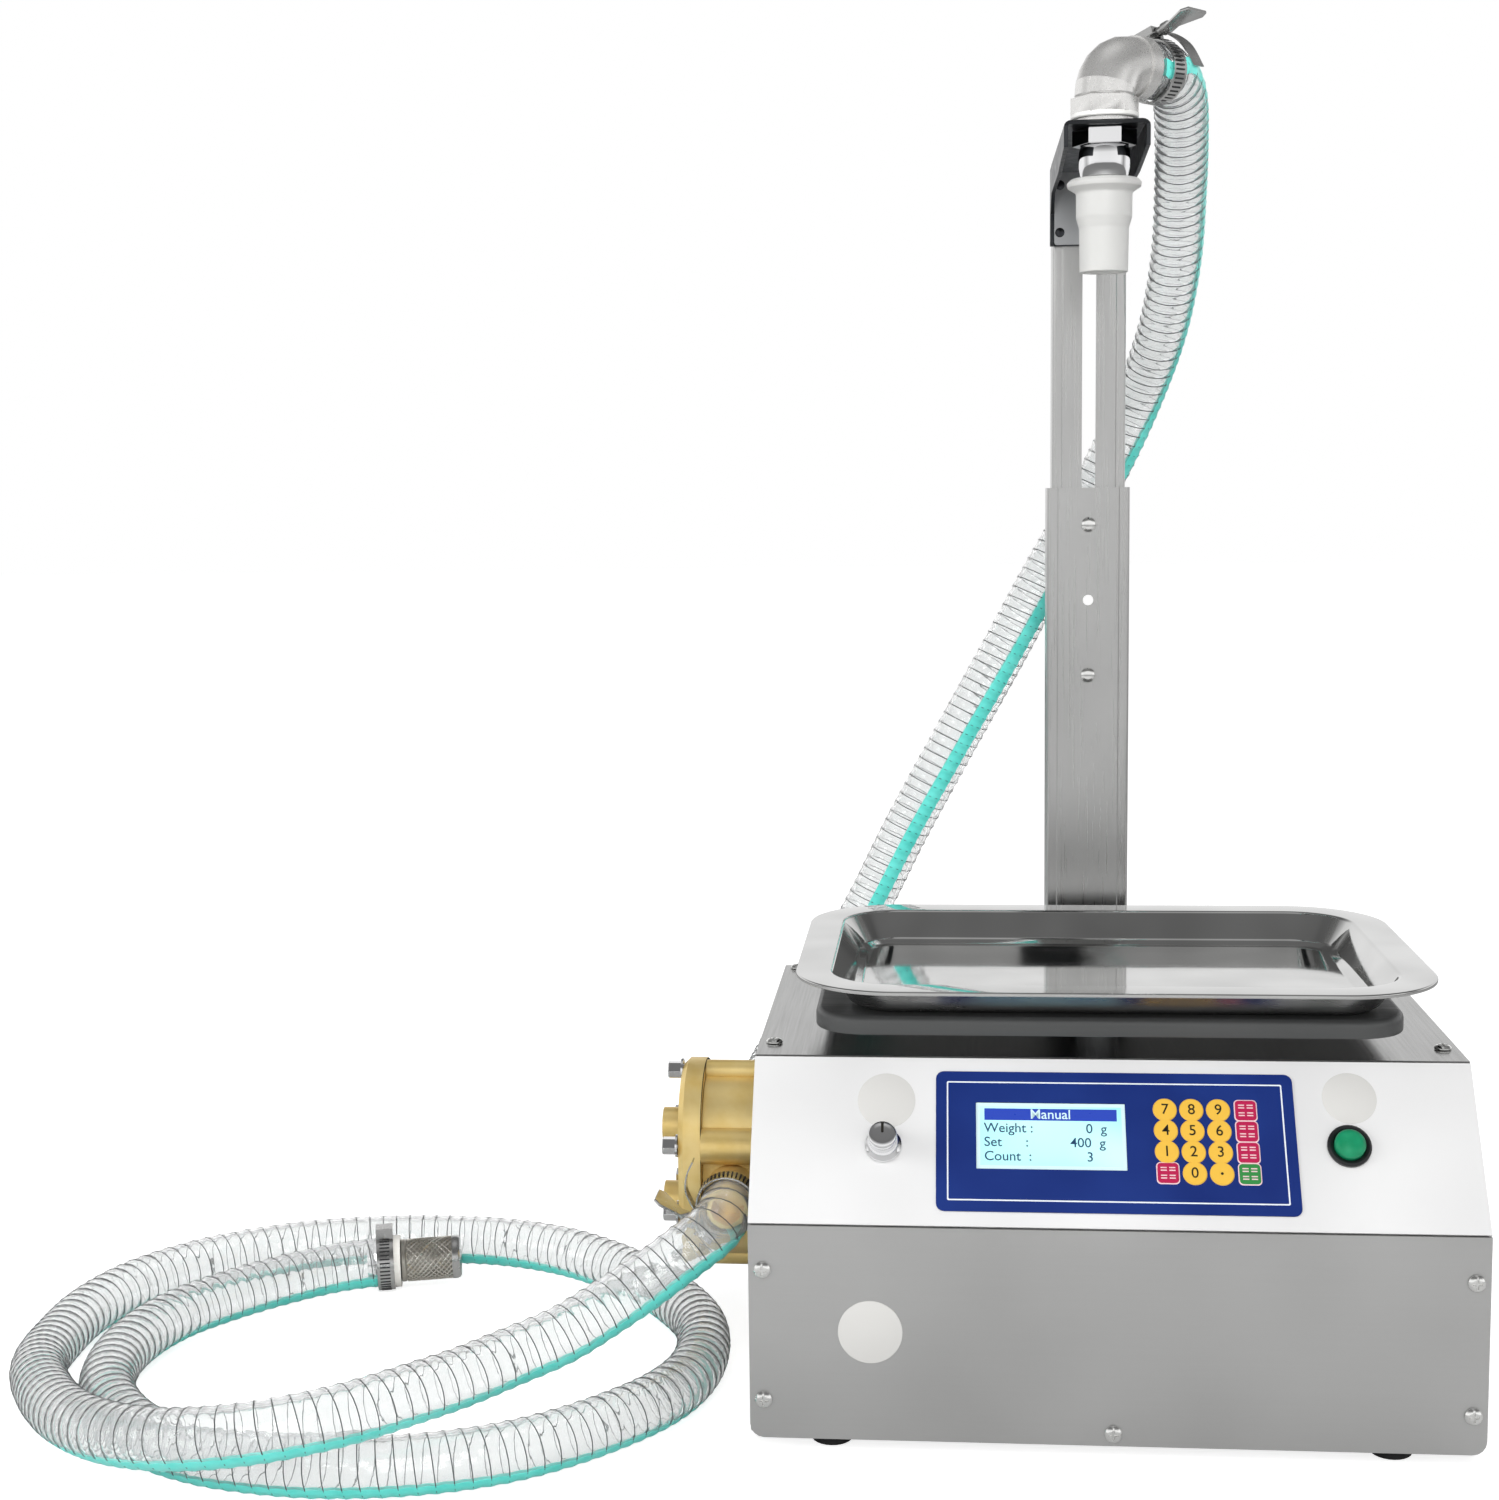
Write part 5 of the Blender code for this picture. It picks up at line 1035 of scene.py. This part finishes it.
# ---------------------------------------------------------------- Scale platform and tray
# The platform is a pressed lid of grey satin steel on the load cell's post. The tray sits loose on
# it, deep-drawn from 0.8 mm stainless and polished, with a turned edge, a steep wall and a flat floor.
TRAY_MIDDLE = Matrix.Translation(place(3.0, 134.0, 0.0))
TRAY_SIZE = (325.0, 232.0)
TRAY_CORNER = 52.0
TRAY_TOP = 232.0
TRAY_FLOOR = 215.0
TRAY_SHEET = 0.8 * MM
PLATFORM_MIDDLE = Matrix.Translation(place(0.0, 134.0, 0.0))
PLATFORM_SIZE = (298.0, 184.0)
PLATFORM_CORNER = 26.0
PLATFORM_TOP = 213.7


def inset_loops(size, corner, least_corner, line, steps):
    """Rounded rectangles that follow a line given as (inset from the edge, height)."""
    width, depth = size
    return [rounded_loop(width - 2.0 * inset, depth - 2.0 * inset, max(corner - inset, least_corner), z,
                         steps) for inset, z in line]


# satin steel, dark and even from an acid dip, with a faint lengthwise grain
platform_steel = steel("satin_platform_steel", "#5A5B5B", 0.4, (60.0, 1.4, 1.4), metallic=0.5)
platform_line = [(inset, PLATFORM_TOP + z) for inset, z in (
    (2.5, -9.5), (0.3, -9.5), (0.0, -8.9), (0.0, -3.0), (0.5, -1.4), (1.6, -0.4), (3.0, 0.0), (40.0, 0.0),
    (40.0, -1.7), (3.4, -1.7), (2.5, -3.0))]
platform_loops = inset_loops(PLATFORM_SIZE, PLATFORM_CORNER, 4.0, platform_line, 14)
platform = add_piece(loft("platform_pressing", platform_loops, platform_steel, PLATFORM_MIDDLE, closed=True),
                     "base")
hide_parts("scale_platform")
add_piece(slab("platform_middle", (219.0, 105.0), 5.0, (PLATFORM_TOP - 0.2, PLATFORM_TOP - 1.5),
               platform_steel, PLATFORM_MIDDLE, 14), "base")
milled_aluminium = steel("milled_aluminium", "#C4C6C8", 0.35, (20.0, 1.5, 1.5))
for node in ("platform_post", "load_cell"):
    soften(node, milled_aluminium, 0.4)

# drawn and polished: a mirror, a little wavy from the press, with fine lines from the mop
tray_steel, tree, shader = new_material("polished_drawn_stainless", Metallic=1.0)
polish = add_node(tree, "ShaderNodeTexNoise", {"Vector": in_mm(tree, 45.0, 1.6, 30.0), "Scale": 1.0,
                                               "Detail": 3.0})
polish_rough = add_node(tree, "ShaderNodeMapRange", {
    "Value": polish.outputs["Fac"], "From Min": 0.3, "From Max": 0.7, "To Min": 0.04, "To Max": 0.09})
tree.links.new(polish_rough.outputs["Result"], shader.inputs["Roughness"])
draw_marks = add_node(tree, "ShaderNodeTexNoise", {"Vector": in_mm(tree, 40.0, 40.0, 40.0), "Scale": 1.0,
                                                   "Detail": 1.0})
tray_tone = add_node(tree, "ShaderNodeValToRGB", {"Fac": draw_marks.outputs["Fac"]})
set_stops(tray_tone.color_ramp, [(0.3, linear("#BEBEBD")), (0.7, linear("#D0D0CF"))])
tree.links.new(tray_tone.outputs["Color"], shader.inputs["Base Color"])
add_relief(tree, shader, draw_marks.outputs["Fac"], 0.12, 0.5)

# the underside, which is also the outside of the wall, is left duller as it came from the press, and its
# colour is made darker than the polished face's
tray_underside = steel("pressed_tray_underside", "#838383", 0.3, (45.0, 45.0, 6.0), depth_mm=0.003,
                       metallic=0.9)


def filleted(points, radii, steps=5):
    """A line through points in a plane, with each corner rounded by its radius."""
    line = [Vector(points[0])]
    for before, corner, after, radius in zip(points, points[1:], points[2:], radii):
        corner = Vector(corner)
        back, ahead = (Vector(before) - corner), (Vector(after) - corner)
        half = back.angle(ahead) / 2.0
        reach = min(radius / math.tan(half), back.length * 0.48, ahead.length * 0.48)
        start, end = corner + back.normalized() * reach, corner + ahead.normalized() * reach
        for i in range(steps + 1):
            t = i / steps
            line.append(start * (1 - t) ** 2 + corner * 2 * t * (1 - t) + end * t ** 2)
    return [*line, Vector(points[-1])]


# the upper face from the rolled edge in to the floor, as (inset from the edge, height)
tray_line = filleted([(0.8, TRAY_TOP - 2.3), (0.0, TRAY_TOP - 2.0), (0.0, TRAY_TOP), (18.6, TRAY_TOP),
                      (28.4, TRAY_FLOOR + 2.2), (33.0, TRAY_FLOOR), (50.0, TRAY_FLOOR)],
                     [0.5, 1.4, 3.0, 3.5, 3.5], 6)
tray_loops = inset_loops(TRAY_SIZE, TRAY_CORNER, 14.0, tray_line, 16)
tray_shell = loft("tray_drawn", tray_loops, tray_steel, TRAY_MIDDLE, caps=False)
BELOW_RIM = (TRAY_TOP + TRAY_FLOOR) / 2.0 * MM
bm = bmesh.new()
bm.from_mesh(tray_shell)
floor_edge = [edge for edge in bm.edges if edge.is_boundary and edge.verts[0].co.z < BELOW_RIM]
bmesh.ops.holes_fill(bm, edges=floor_edge, sides=0)
bmesh.ops.recalc_face_normals(bm, faces=bm.faces)
if next(face for face in bm.faces if len(face.verts) > 4).normal.z < 0.0:
    bmesh.ops.reverse_faces(bm, faces=bm.faces)
bm.to_mesh(tray_shell)
bm.free()
tray_shell.materials.append(tray_underside)
tray = add_piece(thicken(tray_shell, TRAY_SHEET), "tray", 50.0)
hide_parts("tray")

# ---------------------------------------------------------------- Column
# Two folded stainless channels, brushed lengthwise, with a step down each side of their faces. The
# inner one slides in the outer and is held by two screws through its slot.
column_steel = steel("brushed_stainless_column", "#CFCFCE", 0.3, (1.2, 1.2, 90.0), depth_mm=0.002,
                     spread=0.05)
COLUMN_X = 2.3
CHANNEL_WALL = 1.9
FACE_STEP = 0.7


def channel_outline(half, front, depth, step_x, bend=3.2):
    """Half of a channel's section from the middle of its face to its open edge, outer side then inner."""
    side, back, behind = front + FACE_STEP, front + depth, front + CHANNEL_WALL + 0.3
    outer_side = filleted([(0.0, front), (step_x, front), (step_x + FACE_STEP, side), (half, side),
                           (half, back)], [0.4, 0.4, bend], 5)
    inner_side = filleted([(half - CHANNEL_WALL, back), (half - CHANNEL_WALL, behind), (0.0, behind)],
                          [1.4], 4)
    return [*outer_side, *inner_side]


def build_channel(name, half, front, depth, low, high, step_x):
    """A folded channel standing on end, as a closed body."""
    right = channel_outline(half, front, depth, step_x)
    section = [(x, y) for x, y in right] + [(-x, y) for x, y in reversed(right[1:-1])]
    loops = [[Vector((COLUMN_X + x, y, z)) for x, y in section] for z in (low, high)]
    return loft(name, loops, column_steel, Matrix.Translation(CABINET_MIDDLE))


def cut(mesh, cutter, name):
    """The mesh with the cutter's shape taken out of it."""
    tool = bpy.data.objects.new(name + "_cutter", cutter)
    bpy.context.scene.collection.objects.link(tool)
    finished = applied(name, mesh, "BOOLEAN", object=tool, solver="EXACT")
    bpy.data.objects.remove(tool)
    return finished


FACE_HOLES = (367.1, 411.7, 456.3)
outer_mesh = build_channel("outer_channel", half=24.3, front=270.3, depth=26.0, low=60.0, high=478.0,
                           step_x=17.6)
for z in FACE_HOLES:
    hole = turned("hole", [(3.1, -20.0), (3.1, 20.0)], column_steel,
                  Matrix.Translation(place(COLUMN_X, 270.0, z)) @ TO_FRONT, 28)
    outer_mesh = cut(outer_mesh, hole, "outer_channel")
outer = add_piece(outer_mesh, "base", 25.0)
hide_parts("outer_column")
inner_mesh = build_channel("inner_channel", half=21.5, front=272.8, depth=20.0, low=285.0, high=664.0,
                           step_x=15.4)
slot_cutter = slab("slot", (8.0, 303.0), 3.98, (-12.0, 12.0), column_steel,
                   Matrix.Translation(place(COLUMN_X, 274.0, 456.5)) @ TO_FRONT, 8)
inner = add_piece(cut(inner_mesh, slot_cutter, "inner_channel"), "riser", 25.0)
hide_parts("inner_column")
for number in (1, 2):
    soften(f"column_screw_{number}", screw_steel, 0.15)

# ---------------------------------------------------------------- Nozzle bracket
# Folded from 2.5 mm steel, dark with mill scale and oil, and riveted to a lighter plate on the
# inner column. The oil leaves soft dark highlights.
bracket_steel = steel("dark_oiled_steel", "#494B4E", 0.36, (5.0, 5.0, 5.0), depth_mm=0.01)
soften("nozzle_bracket", bracket_steel, 0.6)
plate_steel = steel("grey_bracket_plate", "#CDCFD1", 0.36, (5.0, 5.0, 20.0), depth_mm=0.008)
NOZZLE_X = 1.2
plate_at = Matrix.Translation(place(NOZZLE_X, 269.0, 639.0)) @ TO_FRONT
add_piece(slab("bracket_plate", (39.2, 41.0), 1.5, (0.05, 1.2), plate_steel, plate_at, 4), "riser")

rivet_tree, given = geometry_tree("rivets", [("Radius", "Float", 0.0031), ("Height", "Float", 0.0016),
                                             ("Material", "Material", None)])
ball = add_node(rivet_tree, "GeometryNodeMeshUVSphere", {"Segments": 18, "Rings": 10,
                                                         "Radius": given["Radius"]})
flat_ratio = add_node(rivet_tree, "ShaderNodeMath", {0: given["Height"], 1: given["Radius"]},
                      operation="DIVIDE")
flat = add_node(rivet_tree, "ShaderNodeCombineXYZ", {"X": 1.0, "Y": 1.0, "Z": flat_ratio.outputs["Value"]})
heads = add_node(rivet_tree, "GeometryNodeInstanceOnPoints", {"Points": given["Geometry"],
                                                             "Instance": ball.outputs["Mesh"],
                                                             "Scale": flat.outputs["Vector"]})
close_tree(rivet_tree, heads.outputs["Instances"], given["Material"])
rivet_spots = [(x, z, 0.0) for x in (-16.4, 16.4) for z in (652.5, 625.5)]
rivets = grow("bracket_rivets", places("rivet", rivet_spots), rivet_tree, {"Material": bracket_steel})
rivets.transform(Matrix.Translation(place(NOZZLE_X, 268.5, 0.0)) @ TO_FRONT)
add_piece(rivets, "riser")

# ---------------------------------------------------------------- Nozzle and elbow
# A chromed bulkhead fitting through the bracket, a translucent silicone sleeve pushed over its
# spout, and an investment-cast stainless elbow screwed on top of it.
nozzle_axis = Matrix.Translation(place(NOZZLE_X, 135.0, 0.0))
soften("bulkhead_fitting", chrome, 0.4, 30.0)
barrel_profile = [(10.7, 654.1), (12.5, 654.1), (13.2, 651.5), (13.5, 647.5), (13.2, 643.0), (12.2, 638.5),
                  (10.7, 637.9)]
add_piece(turned("spout_barrel", barrel_profile, chrome, nozzle_axis, closed=True), "riser")

# bead-blasted and lightly polished casting: soft pale grey, with no grain direction
cast_stainless = surfaced("cast_stainless", 0.9, depth_mm=0.02, strength=0.5, roughness=(0.22, 0.36),
                          clouds=(16.0, 2.0, (0.3, "#E1E0DE"), (0.7, "#E9E8E6")), Metallic=0.75)
soften("elbow", cast_stainless, 0.5, 32.0)

# moulded PTFE seal washer between the elbow's hexagon and the plate, dense and waxy
ptfe = surfaced("white_ptfe", 3.0, depth_mm=0.03, Base_Color=linear("#F7F7F4"), Roughness=0.4, IOR=1.35)
washer_profile = [(17.1, 667.9), (17.6, 668.5), (17.6, 670.0), (17.1, 670.5), (15.9, 670.5), (15.9, 667.9)]
add_piece(turned("seal_washer", washer_profile, ptfe, nozzle_axis, closed=True), "riser")

# moulded silicone: milky and soft, so light goes a little way in
silicone = surfaced("translucent_silicone", 6.0, depth_mm=0.15, strength=0.5, Base_Color=linear("#EDEDEB"),
                    Roughness=0.42, IOR=1.41, Transmission_Weight=0.4)
sleeve_profile = filleted([(11.6, 637.4), (17.6, 637.4), (19.4, 635.6), (19.0, 633.4), (14.6, 630.6),
                           (14.5, 618.0), (12.9, 612.5), (12.6, 590.0), (9.7, 590.0), (9.7, 617.0),
                           (11.6, 619.0)],
                          [0.3, 1.0, 1.0, 2.0, 3.0, 3.0, 0.5, 0.5, 1.0], 4)
sleeve = add_piece(turned("sleeve_moulding", sleeve_profile, silicone, nozzle_axis, closed=True), "riser")
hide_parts("nozzle_sleeve")

# ---------------------------------------------------------------- Inside and back
# Bought units: potentiometer, controller board, power supply and motor screwed down inside, and the
# moulded mains inlet with its rocker switch snapped into the rear panel.
circuit_green = surfaced("solder_mask", 3.0, roughness=(0.3, 0.5), Base_Color=linear("#1F5A3A"), IOR=1.5)
motor_paint = ink_material("black_motor_enamel", "#1D1E20", 0.4)
bought_units = {"controller_module": circuit_green, "flow_potentiometer": circuit_green,
                "power_supply": milled_aluminium, "pump_motor": motor_paint, "power_inlet": black_nylon,
                "power_rocker": black_nylon}
for node, material in bought_units.items():
    soften(node, material, 0.3)
PIN_SIZE = (2.2, 5.6)
PIN_LENGTH = 9.0
TO_BACK = Matrix.Rotation(-math.pi / 2.0, 4, "X")
for number, (x, z) in enumerate(((105.0, 59.5), (112.0, 63.0), (119.0, 59.5)), 1):
    pin_at = Matrix.Translation(place(x, 255.2, z)) @ TO_BACK
    add_piece(slab(f"inlet_pin_{number}", PIN_SIZE, 0.5, (0.0, PIN_LENGTH), chrome, pin_at, 3), "base")

# ---------------------------------------------------------------- Size and finish
# The machine's box with its hoses, as the CAD gives it and as the finished pieces fill it.
visual_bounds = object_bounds()
sizes = {name: [list(corner) for corner in box] for name, box in (("cad", cad_bounds),
                                                                  ("visual", visual_bounds))}
